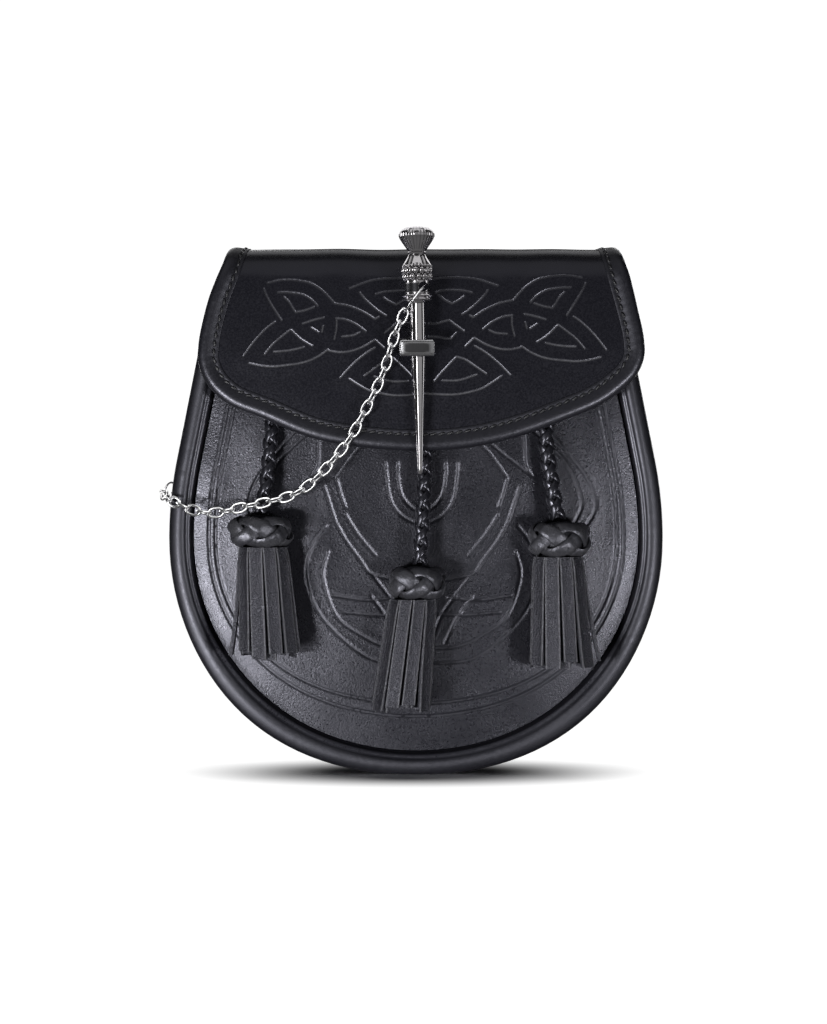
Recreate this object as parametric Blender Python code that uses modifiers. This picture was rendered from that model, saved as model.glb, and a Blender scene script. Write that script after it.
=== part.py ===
"""A black leather day sporran: a horseshoe pouch with a folded-over flap, a thistle-headed
closing pin on a chain, and three leather tassels.

x runs to the viewer's right, -y is the front and z is up. The origin lies on the strap line,
midway between the two loops on the back. Lengths here are millimetres; MM turns them into
Blender's metres where points are placed."""

import math

import bmesh
import bpy
import numpy as np
from mathutils import Matrix, Vector

MM = 0.001
WELD = 1e-6  # metres: points that are meant to be one
CLEAR = 0.3  # between neighbouring pieces
SMOOTH_ANGLE = math.radians(40)
ROUTE_SAMPLES = 24  # points worked out between two of a route's own

# Body: straight upper sides, then three tangent arcs down to the middle of the bottom.
BODY_HALF_WIDTH = 94.8
WIDEST_Z = -64.0
UPPER_SIDE_RADIUS = 155.0
STRAIGHT_STEPS = (1.0, 0.67, 0.33)  # shares of the straight upper side
ARC_STEPS = (2, 13, 3)
SIDE_SLOPE = 0.2
LOWER_SIDE_RADIUS = 90.5
BOTTOM_HALF_ANGLE = math.radians(14)
BODY_TOP_Z = 28.0

# Leather.
BACK_REAR_Y = -3.0
BACK_THICKNESS = 2.5
BACK_TOP_Z = 36.5
BACK_INSET = 0.6
GUSSET_THICKNESS = 1.8
PANEL_THICKNESS = 2.2
PANEL_INSET = 9.0
PANEL_EDGE_Y = -39.8
PANEL_CROWN = 2.9
PANEL_CENTRE_Z = -60.0
PANEL_TOP_Z = 26.0
PANEL_RINGS = (1.0, 0.86, 0.62, 0.32, 0.0)

# Soft side wall: how far inside the outline the leather's middle lies, at each depth.
GUSSET_FOLD = (  # inset, y
    (1.6, -6.8),
    (4.0, -12.5),
    (6.0, -19.5),
    (4.6, -27.0),
    (2.8, -33.2),
)

# Padded rim, drawn outside to inside: the bulge, a crease, and the lip beside the panel.
RIM_SECTION = (  # inset, y
    (0.3, -35.4),
    (0.0, -38.2),
    (1.0, -41.0),
    (3.4, -42.4),
    (5.9, -41.9),
    (7.0, -40.7),
    (7.9, -41.3),
    (8.7, -40.4),
    (8.7, -37.2),
    (6.0, -34.2),
    (2.2, -34.0),
)

# Flap: folds of its outer face, from the sewn tail over the crest and down the front.
FLAP_THICKNESS = 2.0
FLAP_OFFSET_X = 2.0
FLAP_TAIL_Y = -0.7
FLAP_TAIL_Z = 22.5
FLAP_FOLDS = (  # length, turn in degrees, steps
    (14.5, 0, 1),
    (17.28, 90, 4),
    (19.3, 0, 1),
    (20.42, 78, 4),
    (66.8, 9, 0),
)
FLAP_CREST = sum(length for length, _, _ in FLAP_FOLDS[:3])  # run from the tail's end
FLAP_FRONT = sum(length for length, _, _ in FLAP_FOLDS[3:])
FLAP_SIDE = (  # drop below the crest, half width
    (8.0, 75.5),
    (14.0, 76.4),
    (21.5, 79.0),
    (28.0, 81.4),
    (34.5, 83.4),
    (41.0, 84.9),
    (47.0, 85.5),
)
FLAP_CORNER_RADIUS = 16.0
FLAP_CORNER_DROP = 47.0
FLAP_LOWER_RADIUS = 128.0
FLAP_CORNER_STEPS = 4
FLAP_LOWER_STEPS = 7
FLAP_HALF_WIDTH = 85.5
FLAP_DRAPE = 3.0  # how far the lower corners hang back from the middle
FLAP_COLUMNS = 6
FLAP_EDGE_INSET = 1.7  # the leather stops this far inside the binding's edge

BINDING_START = -12.0  # drop, so on the top, behind the crest
BINDING_SECTION = (  # inward from the finished edge, outward from the flap's outer face
    (8.0, 0.35),
    (8.0, 1.1),
    (2.6, 1.5),
    (0.7, 1.0),
    (0.0, -0.9),
    (0.6, -2.6),
    (2.4, -3.2),
    (6.5, -3.1),
    (6.5, -2.45),
    (1.1, -2.45),
    (1.1, 0.35),
)

# Closing pin: a turned thistle, a collar with a hole, a flange and a long taper.
PIN_TOP = (0.15, -54.2, 56.5)
PIN_LEAN = math.radians(0.84)  # its tip is this far to the right of its head
PIN_TILT = math.radians(2.6)  # and this far forward, over the binding
PIN_COLUMNS = 20
PIN_FLUTE = 0.92  # every second column of the crown is this much nearer the axis
PIN_CROWN_DROP = 8.0
PIN_PROFILE = (  # drop, radius
    (0.0, 0.0),
    (0.2, 3.6),
    (1.3, 5.6),
    (3.8, 6.85),
    (6.6, 5.0),
    (9.8, 3.0),
    (11.4, 4.5),
    (13.6, 5.9),
    (16.9, 6.25),
    (19.4, 5.6),
    (21.2, 4.7),
    (27.3, 4.7),
    (27.5, 5.6),
    (28.9, 5.6),
    (29.3, 2.9),
    (51.6, 2.9),
    (73.0, 1.9),
    (94.6, 0.8),
    (95.5, 0.0),
)
PIN_HOLE_RADIUS = 1.85
PIN_HOLE = (2.8, 32.2)  # x, z
PIN_HOLE_LENGTH = 20.0
PIN_HOLE_SIDES = 12

# Staple: a bar in front of the pin, two legs through the flap's slot, and a foot.
STAPLE_X = 0.4
STAPLE_Z = 8.9
STAPLE_BAR = (13.9, 2.4, 6.6)
STAPLE_LEG = (1.6, 4.8)  # x, z
STAPLE_FOOT = (18.0, 1.0, 8.0)
STAPLE_EDGE = 0.8
SLOT_DEPTH = 12.0
SHANK_RADIUS = 2.9

# Rings and chain.
RING_SIDES = 18
WIRE_SIDES = 6
PIN_RING_RADIUS = 6.6
PIN_RING_WIRE = 0.85
PIN_RING_SHIFT = 1.0  # the ring's wire bows this far each way inside the hole
PIN_RING_DOWN = Vector((-0.6, 0.0, -0.8))
SIDE_EYE = Vector((-93.4, -25.0, -46.6))
SIDE_EYE_RADIUS = 1.9
SIDE_EYE_WIRE = 0.9
SIDE_EYE_BASE_X = -90.8
SIDE_EYE_BASE = (3.0, 1.5)  # radius, thickness
SIDE_EYE_SIDES = 14
SIDE_RING_RADIUS = 4.1
SIDE_RING_WIRE = 0.8
SIDE_RING_OUT = Vector((-0.5, -0.866, 0.0))
LINK_LENGTH = 6.6
LINK_WIDTH = 4.4
LINK_WIRE = 0.8
LINK_SIDES = 12
LINK_WIRE_SIDES = 5
LINK_PLAY = 0.25
LINK_REACH = 1.5  # from a ring's wire to the middle of the link on it
LINK_ROLL = math.radians(20)
CHAIN_ROUTE = (  # hand-laid: down the flap, over the left cord, round the rim to the side
    (-9.0, -55.4, 11.0),
    (-11.9, -55.8, 1.0),
    (-15.8, -56.4, -7.8),
    (-20.4, -57.2, -16.7),
    (-25.0, -58.0, -25.2),
    (-31.2, -58.2, -33.2),
    (-38.1, -57.9, -40.6),
    (-45.8, -57.2, -46.3),
    (-55.4, -56.4, -49.2),
    (-65.5, -55.4, -51.3),
    (-74.3, -53.8, -53.4),
    (-82.8, -51.4, -53.3),
    (-90.5, -47.6, -50.6),
    (-94.6, -43.4, -48.9),
    (-97.2, -38.4, -47.2),
)

# Tassels, left to right.
CORD_SIDES = 2  # Blender's bevel resolution: 8 sides
CORD_STEP = 1.2  # diameters from point to point
TASSELS = {  # cord diameter and route; knot centre, width and height; skirt
    "left": {
        "cord": 5.0,
        "route": (
            (-54.6, -44.4, -10.0),
            (-55.4, -46.2, -22.1),
            (-57.4, -49.3, -43.6),
            (-59.3, -51.4, -53.0),
        ),
        "knot": (-59.3, -51.4, -60.8),
        "knot_size": (24.0, 18.0, 13.4),
        "skirt_top": (-58.4, -51.2, -67.9),
        "skirt_bottom": (-56.2, -52.2, -107.5),
        "skirt_size": (19.3, 15.0, 23.6, 17.6),
        "flared": 0,
    },
    "centre": {
        "cord": 5.0,
        "route": (
            (3.2, -44.9, -21.5),
            (3.5, -46.6, -32.9),
            (2.7, -49.8, -51.0),
            (1.4, -51.8, -72.7),
        ),
        "knot": (0.4, -51.9, -80.4),
        "knot_size": (21.6, 17.6, 14.0),
        "skirt_top": (-1.2, -52.0, -87.8),
        "skirt_bottom": (-6.0, -52.6, -127.5),
        "skirt_size": (18.6, 15.0, 22.4, 17.0),
        "flared": 9,
    },
    "right": {
        "cord": 5.4,
        "route": (
            (50.9, -44.9, -11.0),
            (49.8, -46.7, -26.0),
            (52.0, -49.4, -43.4),
            (54.0, -51.2, -55.6),
        ),
        "knot": (54.7, -51.4, -63.8),
        "knot_size": (23.6, 18.0, 14.7),
        "skirt_top": (54.2, -51.2, -71.6),
        "skirt_bottom": (55.4, -52.2, -111.5),
        "skirt_size": (19.6, 15.0, 24.6, 17.6),
        "flared": 5,
    },
}
KNOT_COLUMNS = 14
KNOT_PROFILE = (  # height, radius: both as shares of the half size
    (1.0, 0.0),
    (1.0, 0.42),
    (0.66, 0.88),
    (0.05, 1.0),
    (-0.62, 0.88),
    (-1.0, 0.45),
    (-1.0, 0.0),
)
SKIRT_STRIPS = 10
SKIRT_SLIT = 1.4
SKIRT_ROWS = (  # share of the height, share of the radius, share of the slit's depth
    (0.0, 0.70, 0.0),
    (0.05, 0.98, 0.0),
    (0.18, 1.0, 0.35),
    (0.6, 1.0, 1.0),
    (1.0, 1.0, 1.0),
)
SKIRT_TOOTH = (  # share of a strip's width, and whether the point lies down in the slit
    (0.08, True),
    (0.12, False),
    (0.88, False),
    (0.92, True),
)
SKIRT_RAGGED = 1.6  # how far the strips' ends differ
SKIRT_RAGGED_TURN = 2.3  # radians from strip to strip, so that no two neighbours match
SKIRT_FLARE = 2.6

# Strap loops, as the middle of their leather from the upper tab to its mirror image.
LOOP_X = 45.0
LOOP_WIDTH = 26.0
LOOP_THICKNESS = 2.2
LOOP_HALF = (  # y, z
    (-1.6, 21.0),
    (-1.6, 16.4),
    (-0.4, 14.9),
    (2.8, 13.6),
    (4.2, 12.0),
    (4.5, 6.0),
)

BLACK_LEATHER = ("black_leather", (0.018, 0.018, 0.020), 0.42, 0.0)
SOFT_LEATHER = ("soft_leather", (0.022, 0.022, 0.024), 0.5, 0.0)
CHROME = ("chrome", (0.78, 0.78, 0.80), 0.12, 1.0)


def collection(name):
    found = bpy.data.collections.new(name)
    bpy.context.scene.collection.children.link(found)
    return found


def clear_scene():
    for old in list(bpy.data.objects):
        bpy.data.objects.remove(old, do_unlink=True)


clear_scene()
PARTS = collection("sporran_pouch")
CUTTERS = collection("cutters")


def material(look):
    name, colour, roughness, metallic = look
    if name in bpy.data.materials:
        return bpy.data.materials[name]
    made = bpy.data.materials.new(name)
    made.use_nodes = True
    shader = made.node_tree.nodes["Principled BSDF"]
    shader.inputs["Base Color"].default_value = (*colour, 1.0)
    shader.inputs["Roughness"].default_value = roughness
    shader.inputs["Metallic"].default_value = metallic
    return made


def add_object(name, mesh, look, place=None):
    if not mesh.materials:
        mesh.materials.append(material(look))
        mesh.shade_smooth()
        mesh.set_sharp_from_angle(angle=SMOOTH_ANGLE)
    made = bpy.data.objects.new(name, mesh)
    if place is not None:
        made.matrix_world = place
    PARTS.objects.link(made)
    return made


def as_mesh(name, shape):
    mesh = bpy.data.meshes.new(name)
    shape.to_mesh(mesh)
    shape.free()
    return mesh


def loft(name, look, rings, capped):
    """A grid primitive whose rows are laid along rings of points. Points that meet are welded,
    so a ring that returns to its start makes a tube, and capped closes the tube's ends."""
    rows, columns = len(rings), len(rings[0])
    shape = bmesh.new()
    bmesh.ops.create_grid(shape, x_segments=columns - 1, y_segments=rows - 1, size=1)
    for vert in shape.verts:
        column = round((vert.co.x + 1) / 2 * (columns - 1))
        row = round((vert.co.y + 1) / 2 * (rows - 1))
        vert.co = Vector(rings[row][column]) * MM
    bmesh.ops.remove_doubles(shape, verts=shape.verts, dist=WELD)
    bmesh.ops.dissolve_degenerate(shape, dist=WELD, edges=shape.edges)
    if capped:
        bmesh.ops.holes_fill(shape, edges=shape.edges, sides=0)
    bmesh.ops.recalc_face_normals(shape, faces=shape.faces)
    return add_object(name, as_mesh(name, shape), look)


def thicken(piece, thickness):
    """Turns a sheet, drawn along the middle of the leather, into leather."""
    shell = piece.modifiers.new("Leather", "SOLIDIFY")
    shell.thickness = thickness * MM
    shell.offset = 0
    shell.use_even_offset = True


def combine(piece, tool, operation):
    """Joins a tool object to a piece, or cuts it out of the piece."""
    for home in list(tool.users_collection):
        home.objects.unlink(tool)
    CUTTERS.objects.link(tool)
    tool.hide_render = True
    tool.display_type = "WIRE"
    boolean = piece.modifiers.new(tool.name, "BOOLEAN")
    boolean.operation = operation
    boolean.solver = "EXACT"
    boolean.object = tool


def box(name, look, size, centre):
    shape = bmesh.new()
    bmesh.ops.create_cube(shape, size=1)
    bmesh.ops.scale(shape, vec=Vector(size) * MM, verts=shape.verts)
    place = Matrix.Translation(Vector(centre) * MM)
    return add_object(name, as_mesh(name, shape), look, place)


def cylinder(name, look, size, centre, axis, sides):
    radius, length = size
    shape = bmesh.new()
    bmesh.ops.create_cone(
        shape,
        cap_ends=True,
        segments=sides,
        radius1=radius * MM,
        radius2=radius * MM,
        depth=length * MM,
    )
    turn = Vector((0, 0, 1)).rotation_difference(Vector(axis)).to_matrix().to_4x4()
    place = Matrix.Translation(Vector(centre) * MM) @ turn
    return add_object(name, as_mesh(name, shape), look, place)


def torus_mesh(name, radius, wire, sides, wire_sides):
    """A ring in its own xy plane. radius goes to the middle of the wire."""
    bpy.ops.mesh.primitive_torus_add(
        major_segments=sides,
        minor_segments=wire_sides,
        major_radius=radius * MM,
        minor_radius=wire / 2 * MM,
    )
    made = bpy.context.object
    mesh = made.data
    mesh.name = name
    bpy.data.objects.remove(made)
    return mesh


def frame_at(centre, along, normal):
    """A placing with x along one direction and z along the other."""
    across = normal.cross(along).normalized()
    turn = Matrix((along.normalized(), across, normal.normalized())).transposed()
    return Matrix.Translation(Vector(centre) * MM) @ turn.to_4x4()


def ring(name, centre, radius, wire, along, normal):
    mesh = torus_mesh(name, radius, wire, RING_SIDES, WIRE_SIDES)
    return add_object(name, mesh, CHROME, frame_at(centre, along, normal))


def smooth_route(points, step):
    """Points about step apart on a smooth curve through the given ones."""
    points = np.array(points, float)
    ends = 2 * points[[0, -1]] - points[[1, -2]]
    held = np.vstack([ends[:1], points, ends[1:]])
    share = np.linspace(0, 1, ROUTE_SAMPLES, endpoint=False)[:, None]
    curve = [
        0.5
        * (
            2 * b
            + (c - a) * share
            + (2 * a - 5 * b + 4 * c - d) * share**2
            + (3 * b - a - 3 * c + d) * share**3
        )
        for a, b, c, d in zip(held, held[1:], held[2:], held[3:])
    ]
    curve = np.vstack([*curve, points[-1:]])
    run = np.concatenate([[0], np.cumsum(np.linalg.norm(np.diff(curve, axis=0), axis=1))])
    count = math.ceil(run[-1] / step) + 1
    at = np.linspace(0, run[-1], count)
    return np.stack([np.interp(at, run, curve[:, axis]) for axis in range(3)], axis=1)


# ---- The body's outline ----


def half_outline(inset, top):
    """The right half from the top down: x, z and the way the edge faces, as an angle."""
    side = math.atan(SIDE_SLOPE)
    turn = BOTTOM_HALF_ANGLE - math.pi / 2
    upper = (BODY_HALF_WIDTH - UPPER_SIDE_RADIUS, WIDEST_Z)
    lower = (BODY_HALF_WIDTH - LOWER_SIDE_RADIUS, WIDEST_Z)
    reach = lower[0] / math.cos(turn)
    bottom = (0.0, lower[1] - reach * math.sin(turn))
    arcs = (
        (upper, UPPER_SIDE_RADIUS, side, 0.0),
        (lower, LOWER_SIDE_RADIUS, 0.0, turn),
        (bottom, LOWER_SIDE_RADIUS + reach, turn, -math.pi / 2),
    )
    stations = []
    for (centre, radius, start, end), steps in zip(arcs, ARC_STEPS):
        for angle in np.linspace(start, end, steps + 1)[bool(stations) :]:
            x = centre[0] + (radius - inset) * math.cos(angle)
            z = centre[1] + (radius - inset) * math.sin(angle)
            stations.append((x, z, angle))
    x, z, _ = stations[0]
    rise = top - z
    straight = [
        (x - SIDE_SLOPE * rise * share, z + rise * share, side) for share in STRAIGHT_STEPS
    ]
    return straight + stations


def outline(inset, top):
    """The whole horseshoe, from the top right round the bottom to the top left."""
    right = half_outline(inset, top)
    left = [(-x, z, math.pi - angle) for x, z, angle in reversed(right[:-1])]
    return right + left


def swept_round_body(section):
    """One ring of points for each station of the outline. section has insets and depths."""
    return [
        [(x - inset * math.cos(angle), y, z - inset * math.sin(angle)) for inset, y in section]
        for x, z, angle in outline(0, BODY_TOP_Z)
    ]


def panel_share(x, z):
    """0 in the middle of the front panel and 1 at its edge, along a ray from its centre."""
    dz = z - PANEL_CENTRE_Z
    if dz > 0:
        return max(abs(x) / (BODY_HALF_WIDTH - PANEL_INSET), dz / (PANEL_TOP_Z - PANEL_CENTRE_Z))
    return math.hypot(x, dz) / (BODY_HALF_WIDTH - PANEL_INSET)


def panel_face_y(share):
    """How far forward the panel's face lies, from its share of the way to the edge."""
    return PANEL_EDGE_Y - PANEL_CROWN * (1 - min(share, 1.0) ** 2)


# ---- The pouch ----


def make_back_panel():
    flat = bpy.data.curves.new("back_panel", "CURVE")
    flat.dimensions = "2D"
    flat.fill_mode = "BOTH"
    flat.extrude = BACK_THICKNESS / 2 * MM
    points = outline(BACK_INSET, BACK_TOP_Z)
    spline = flat.splines.new("POLY")
    spline.points.add(len(points) - 1)
    for point, (x, z, _) in zip(spline.points, points):
        point.co = (x * MM, z * MM, 0, 1)
    spline.use_cyclic_u = True
    flat.materials.append(material(BLACK_LEATHER))
    made = bpy.data.objects.new("back_panel", flat)
    made.rotation_euler = (math.radians(90), 0, 0)
    made.location = (0, (BACK_REAR_Y - BACK_THICKNESS / 2) * MM, 0)
    PARTS.objects.link(made)


def make_gusset():
    wall = loft("gusset", SOFT_LEATHER, swept_round_body(GUSSET_FOLD), capped=False)
    thicken(wall, GUSSET_THICKNESS)


def make_rim_roll():
    closed = (*RIM_SECTION, RIM_SECTION[0])
    loft("rim_roll", SOFT_LEATHER, swept_round_body(closed), capped=True)


def make_front_panel():
    """Rings of the same outline, each nearer the centre and further forward than the last."""
    edge = [(x, z) for x, z, _ in outline(PANEL_INSET, PANEL_TOP_Z)]
    edge = [(0.0, PANEL_TOP_Z), *edge, (0.0, PANEL_TOP_Z)]
    rings = []
    for share in PANEL_RINGS:
        y = panel_face_y(share) + PANEL_THICKNESS / 2
        rings.append(
            [(x * share, y, PANEL_CENTRE_Z + (z - PANEL_CENTRE_Z) * share) for x, z in edge]
        )
    thicken(loft("front_panel", BLACK_LEATHER, rings, capped=False), PANEL_THICKNESS)


# ---- The flap ----


def flap_profile(run):
    """y, z and heading of the flap's outer face, at a run of leather from the tail's end.
    Heading 0 is up, 90 degrees is forward."""
    y, z, heading = FLAP_TAIL_Y, FLAP_TAIL_Z, 0.0
    for length, turn, _ in FLAP_FOLDS:
        part = min(run, length)
        if turn:
            radius = length / math.radians(turn)
            end = heading + part / radius
            y += radius * (math.cos(end) - math.cos(heading))
            z += radius * (math.sin(end) - math.sin(heading))
            heading = end
        else:
            y -= part * math.sin(heading)
            z += part * math.cos(heading)
        run -= part
        if run <= 0:
            break
    return y, z, heading


def flap_point(x, run, out):
    """A point out from the flap's outer face, or inside it where out is negative."""
    y, z, heading = flap_profile(run)
    down = max(0.0, run - FLAP_CREST) / FLAP_FRONT
    y += out * math.cos(heading) + FLAP_DRAPE * down * (x / FLAP_HALF_WIDTH) ** 2
    return (FLAP_OFFSET_X + x, y, z + out * math.sin(heading))


def flap_edge():
    """The right edge of the finished flap in its flat pattern, from the tail to the middle of
    the bottom: half width and run."""
    drops, widths = zip(*FLAP_SIDE)
    runs, at = [0.0], 0.0
    for length, _, steps in FLAP_FOLDS:
        runs += [at + length * (step + 1) / steps for step in range(steps)]
        at += length
    runs += [FLAP_CREST + drop for drop in drops if FLAP_CREST + drop > runs[-1] + 1]
    edge = [(float(np.interp(run - FLAP_CREST, drops, widths)), run) for run in runs]
    corner_x = FLAP_HALF_WIDTH - FLAP_CORNER_RADIUS
    lower_angle = math.asin(corner_x / (FLAP_LOWER_RADIUS - FLAP_CORNER_RADIUS))
    corner_run = FLAP_CREST + FLAP_CORNER_DROP
    for angle in np.linspace(math.pi / 2, lower_angle, FLAP_CORNER_STEPS + 1)[1:]:
        edge.append(
            (
                corner_x + FLAP_CORNER_RADIUS * math.sin(angle),
                corner_run + FLAP_CORNER_RADIUS * math.cos(angle),
            )
        )
    rise = (FLAP_LOWER_RADIUS - FLAP_CORNER_RADIUS) * math.cos(lower_angle)
    lower_run = corner_run - rise
    for angle in np.linspace(lower_angle, 0, FLAP_LOWER_STEPS + 1)[1:]:
        edge.append(
            (
                FLAP_LOWER_RADIUS * math.sin(angle),
                lower_run + FLAP_LOWER_RADIUS * math.cos(angle),
            )
        )
    return edge


def facing(edge):
    """The outward direction at each point of the flap's edge, in its flat pattern."""
    run = np.gradient(np.array(edge), axis=0)
    run[-1] = (-1, 0)
    out = np.stack([run[:, 1], -run[:, 0]], axis=1)
    return out / np.linalg.norm(out, axis=1)[:, None]


def make_flap():
    edge = flap_edge()
    rings = []
    for (half, run), (out_x, out_run) in zip(edge, facing(edge)):
        half = half - FLAP_EDGE_INSET * out_x if half else 0.0
        run = run - FLAP_EDGE_INSET * out_run
        across = np.linspace(-half, half, FLAP_COLUMNS + 1)
        rings.append([flap_point(x, run, -FLAP_THICKNESS / 2) for x in across])
    flap = loft("flap", BLACK_LEATHER, rings, capped=False)
    thicken(flap, FLAP_THICKNESS)
    slot_x = STAPLE_BAR[0] - 2 * STAPLE_EDGE + 2 * CLEAR
    slot_z = STAPLE_LEG[1] + 2 * CLEAR
    front = flap_profile(FLAP_CREST + FLAP_CORNER_DROP)[0]
    slot = box("flap_slot", CHROME, (slot_x, SLOT_DEPTH, slot_z), (STAPLE_X, front, STAPLE_Z))
    combine(flap, slot, "DIFFERENCE")


def make_flap_binding():
    edge = flap_edge()
    stations = [
        (point, out)
        for point, out in zip(edge, facing(edge))
        if point[1] > FLAP_CREST + BINDING_START
    ]
    section = (*BINDING_SECTION, BINDING_SECTION[0])
    sides = []
    for side in (1, -1):
        sides.append(
            [
                [
                    flap_point(side * (half - inward * out[0]), run - inward * out[1], outward)
                    for inward, outward in section
                ]
                for (half, run), out in stations
            ]
        )
    right, left = sides
    loft("flap_binding", SOFT_LEATHER, right + left[-2::-1], capped=True)


# ---- The metal ----


def pin_place():
    lean = Matrix.Rotation(-PIN_LEAN, 4, "Y") @ Matrix.Rotation(-PIN_TILT, 4, "X")
    return Matrix.Translation(Vector(PIN_TOP) * MM) @ lean


def pin_axis_y(z):
    """How far forward the pin's axis lies at a height."""
    return PIN_TOP[1] - (PIN_TOP[2] - z) * math.tan(PIN_TILT)


def pin_hole_centre():
    return Vector((PIN_HOLE[0], pin_axis_y(PIN_HOLE[1]), PIN_HOLE[1]))


def make_closing_pin():
    rings = []
    for drop, radius in PIN_PROFILE:
        points = []
        for column in range(PIN_COLUMNS + 1):
            angle = 2 * math.pi * column / PIN_COLUMNS
            fluted = 0 < drop < PIN_CROWN_DROP and column % 2
            reach = radius * (PIN_FLUTE if fluted else 1.0)
            points.append((reach * math.cos(angle), reach * math.sin(angle), -drop))
        rings.append(points)
    pin = loft("closing_pin", CHROME, rings, capped=False)
    pin.matrix_world = pin_place()
    centre = pin_hole_centre()
    size = (PIN_HOLE_RADIUS, PIN_HOLE_LENGTH)
    hole = cylinder("pin_hole", CHROME, size, centre, (0, 1, 0), PIN_HOLE_SIDES)
    combine(pin, hole, "DIFFERENCE")


def make_staple():
    width, depth, height = STAPLE_BAR
    leg_x, leg_z = STAPLE_LEG
    bar_back = pin_axis_y(STAPLE_Z) - SHANK_RADIUS - CLEAR
    foot_share = panel_share(STAPLE_X, STAPLE_Z - STAPLE_FOOT[2] / 2)
    foot_back = panel_face_y(foot_share) - CLEAR
    foot_y = foot_back - STAPLE_FOOT[1] / 2
    bar = box("staple", CHROME, STAPLE_BAR, (STAPLE_X, bar_back - depth / 2, STAPLE_Z))
    bevel = bar.modifiers.new("Edges", "BEVEL")
    bevel.width = STAPLE_EDGE * MM
    bevel.segments = 2
    leg_front = bar_back - depth / 2
    for side in (-1, 1):
        x = STAPLE_X + side * (width / 2 - STAPLE_EDGE - leg_x / 2)
        size = (leg_x, foot_y - leg_front, leg_z)
        leg = box(f"staple_leg_{side:+d}", CHROME, size, (x, (foot_y + leg_front) / 2, STAPLE_Z))
        combine(bar, leg, "UNION")
    foot = box("staple_foot", CHROME, STAPLE_FOOT, (STAPLE_X, foot_y, STAPLE_Z))
    combine(bar, foot, "UNION")


def pin_ring_centre():
    centre = pin_hole_centre() + PIN_RING_DOWN * (PIN_RING_RADIUS - PIN_RING_SHIFT)
    centre.y = pin_axis_y(centre.z)
    return centre


def side_ring_centre():
    return SIDE_EYE + SIDE_RING_OUT * SIDE_RING_RADIUS


def make_rings():
    front_back = Vector((0, 1, 0))
    ring(
        "pin_ring",
        pin_ring_centre(),
        PIN_RING_RADIUS,
        PIN_RING_WIRE,
        PIN_RING_DOWN,
        PIN_RING_DOWN.cross(front_back),
    )
    up = Vector((0, 0, 1))
    ring(
        "side_ring",
        side_ring_centre(),
        SIDE_RING_RADIUS,
        SIDE_RING_WIRE,
        SIDE_RING_OUT,
        SIDE_RING_OUT.cross(up),
    )


def make_side_eye():
    """A small stud on the gusset with a level ring of wire standing out of it."""
    base_x = SIDE_EYE_BASE_X - SIDE_EYE_BASE[1] / 2
    centre = (base_x, SIDE_EYE[1], SIDE_EYE[2])
    base = cylinder("side_eye", CHROME, SIDE_EYE_BASE, centre, (-1, 0, 0), SIDE_EYE_SIDES)
    mesh = torus_mesh(
        "side_eye_wire", SIDE_EYE_RADIUS, SIDE_EYE_WIRE, SIDE_EYE_SIDES, WIRE_SIDES
    )
    up = Vector((0, 0, 1))
    wire = add_object("side_eye_wire", mesh, CHROME, frame_at(SIDE_EYE, Vector((1, 0, 0)), up))
    combine(base, wire, "UNION")


def link_mesh():
    """A ring drawn out into an oval, long in x."""
    half = LINK_WIDTH / 2 - LINK_WIRE / 2
    mesh = torus_mesh("chain_link", half, LINK_WIRE, LINK_SIDES, LINK_WIRE_SIDES)
    stretch = (LINK_LENGTH - LINK_WIDTH) / 2 * MM
    for vert in mesh.vertices:
        if abs(vert.co.x) > WELD:
            vert.co.x += math.copysign(stretch, vert.co.x)
    return mesh


def chain_centres():
    """The middle of each link, from the pin's ring to the side ring."""
    start = pin_ring_centre() + PIN_RING_DOWN * PIN_RING_RADIUS
    end = side_ring_centre() + SIDE_RING_OUT * SIDE_RING_RADIUS
    first = start + (Vector(CHAIN_ROUTE[0]) - start).normalized() * LINK_REACH
    last = end + (Vector(CHAIN_ROUTE[-1]) - end).normalized() * LINK_REACH
    pitch = LINK_LENGTH - 2 * LINK_WIRE - LINK_PLAY
    return smooth_route([first, *CHAIN_ROUTE, last], pitch)


def make_chain():
    """Links laid along the route, each turned a quarter round from the one before."""
    centres = [Vector(centre) for centre in chain_centres()]
    mesh = link_mesh()
    normal = Vector((0, -1, 0))
    before = None
    for index, centre in enumerate(centres):
        behind = centres[max(index - 1, 0)]
        ahead = centres[min(index + 1, len(centres) - 1)]
        along = (ahead - behind).normalized()
        if before is not None:
            normal.rotate(before.rotation_difference(along))
        normal = (normal - along * normal.dot(along)).normalized()
        roll = LINK_ROLL + math.pi / 2 * (index % 2)
        turned = Matrix.Rotation(roll, 3, along) @ normal
        place = frame_at(centre, along, turned)
        add_object(f"chain_link_{index + 1:02d}", mesh, CHROME, place)
        before = along


# ---- The tassels ----


def make_cord(name, diameter, route):
    line = bpy.data.curves.new(name, "CURVE")
    line.dimensions = "3D"
    line.bevel_depth = diameter / 2 * MM
    line.bevel_resolution = CORD_SIDES
    line.use_fill_caps = True
    points = smooth_route(route, CORD_STEP * diameter)
    spline = line.splines.new("POLY")
    spline.points.add(len(points) - 1)
    for point, place in zip(spline.points, points):
        point.co = (*(place * MM), 1)
    line.materials.append(material(SOFT_LEATHER))
    PARTS.objects.link(bpy.data.objects.new(name, line))


def make_knot(name, centre, size):
    wide, deep, high = (length / 2 for length in size)
    rings = []
    for height, share in KNOT_PROFILE:
        points = []
        for column in range(KNOT_COLUMNS + 1):
            angle = 2 * math.pi * column / KNOT_COLUMNS
            x = centre[0] + wide * share * math.cos(angle)
            y = centre[1] + deep * share * math.sin(angle)
            points.append((x, y, centre[2] + high * height))
        rings.append(points)
    loft(name, SOFT_LEATHER, rings, capped=False)


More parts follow.
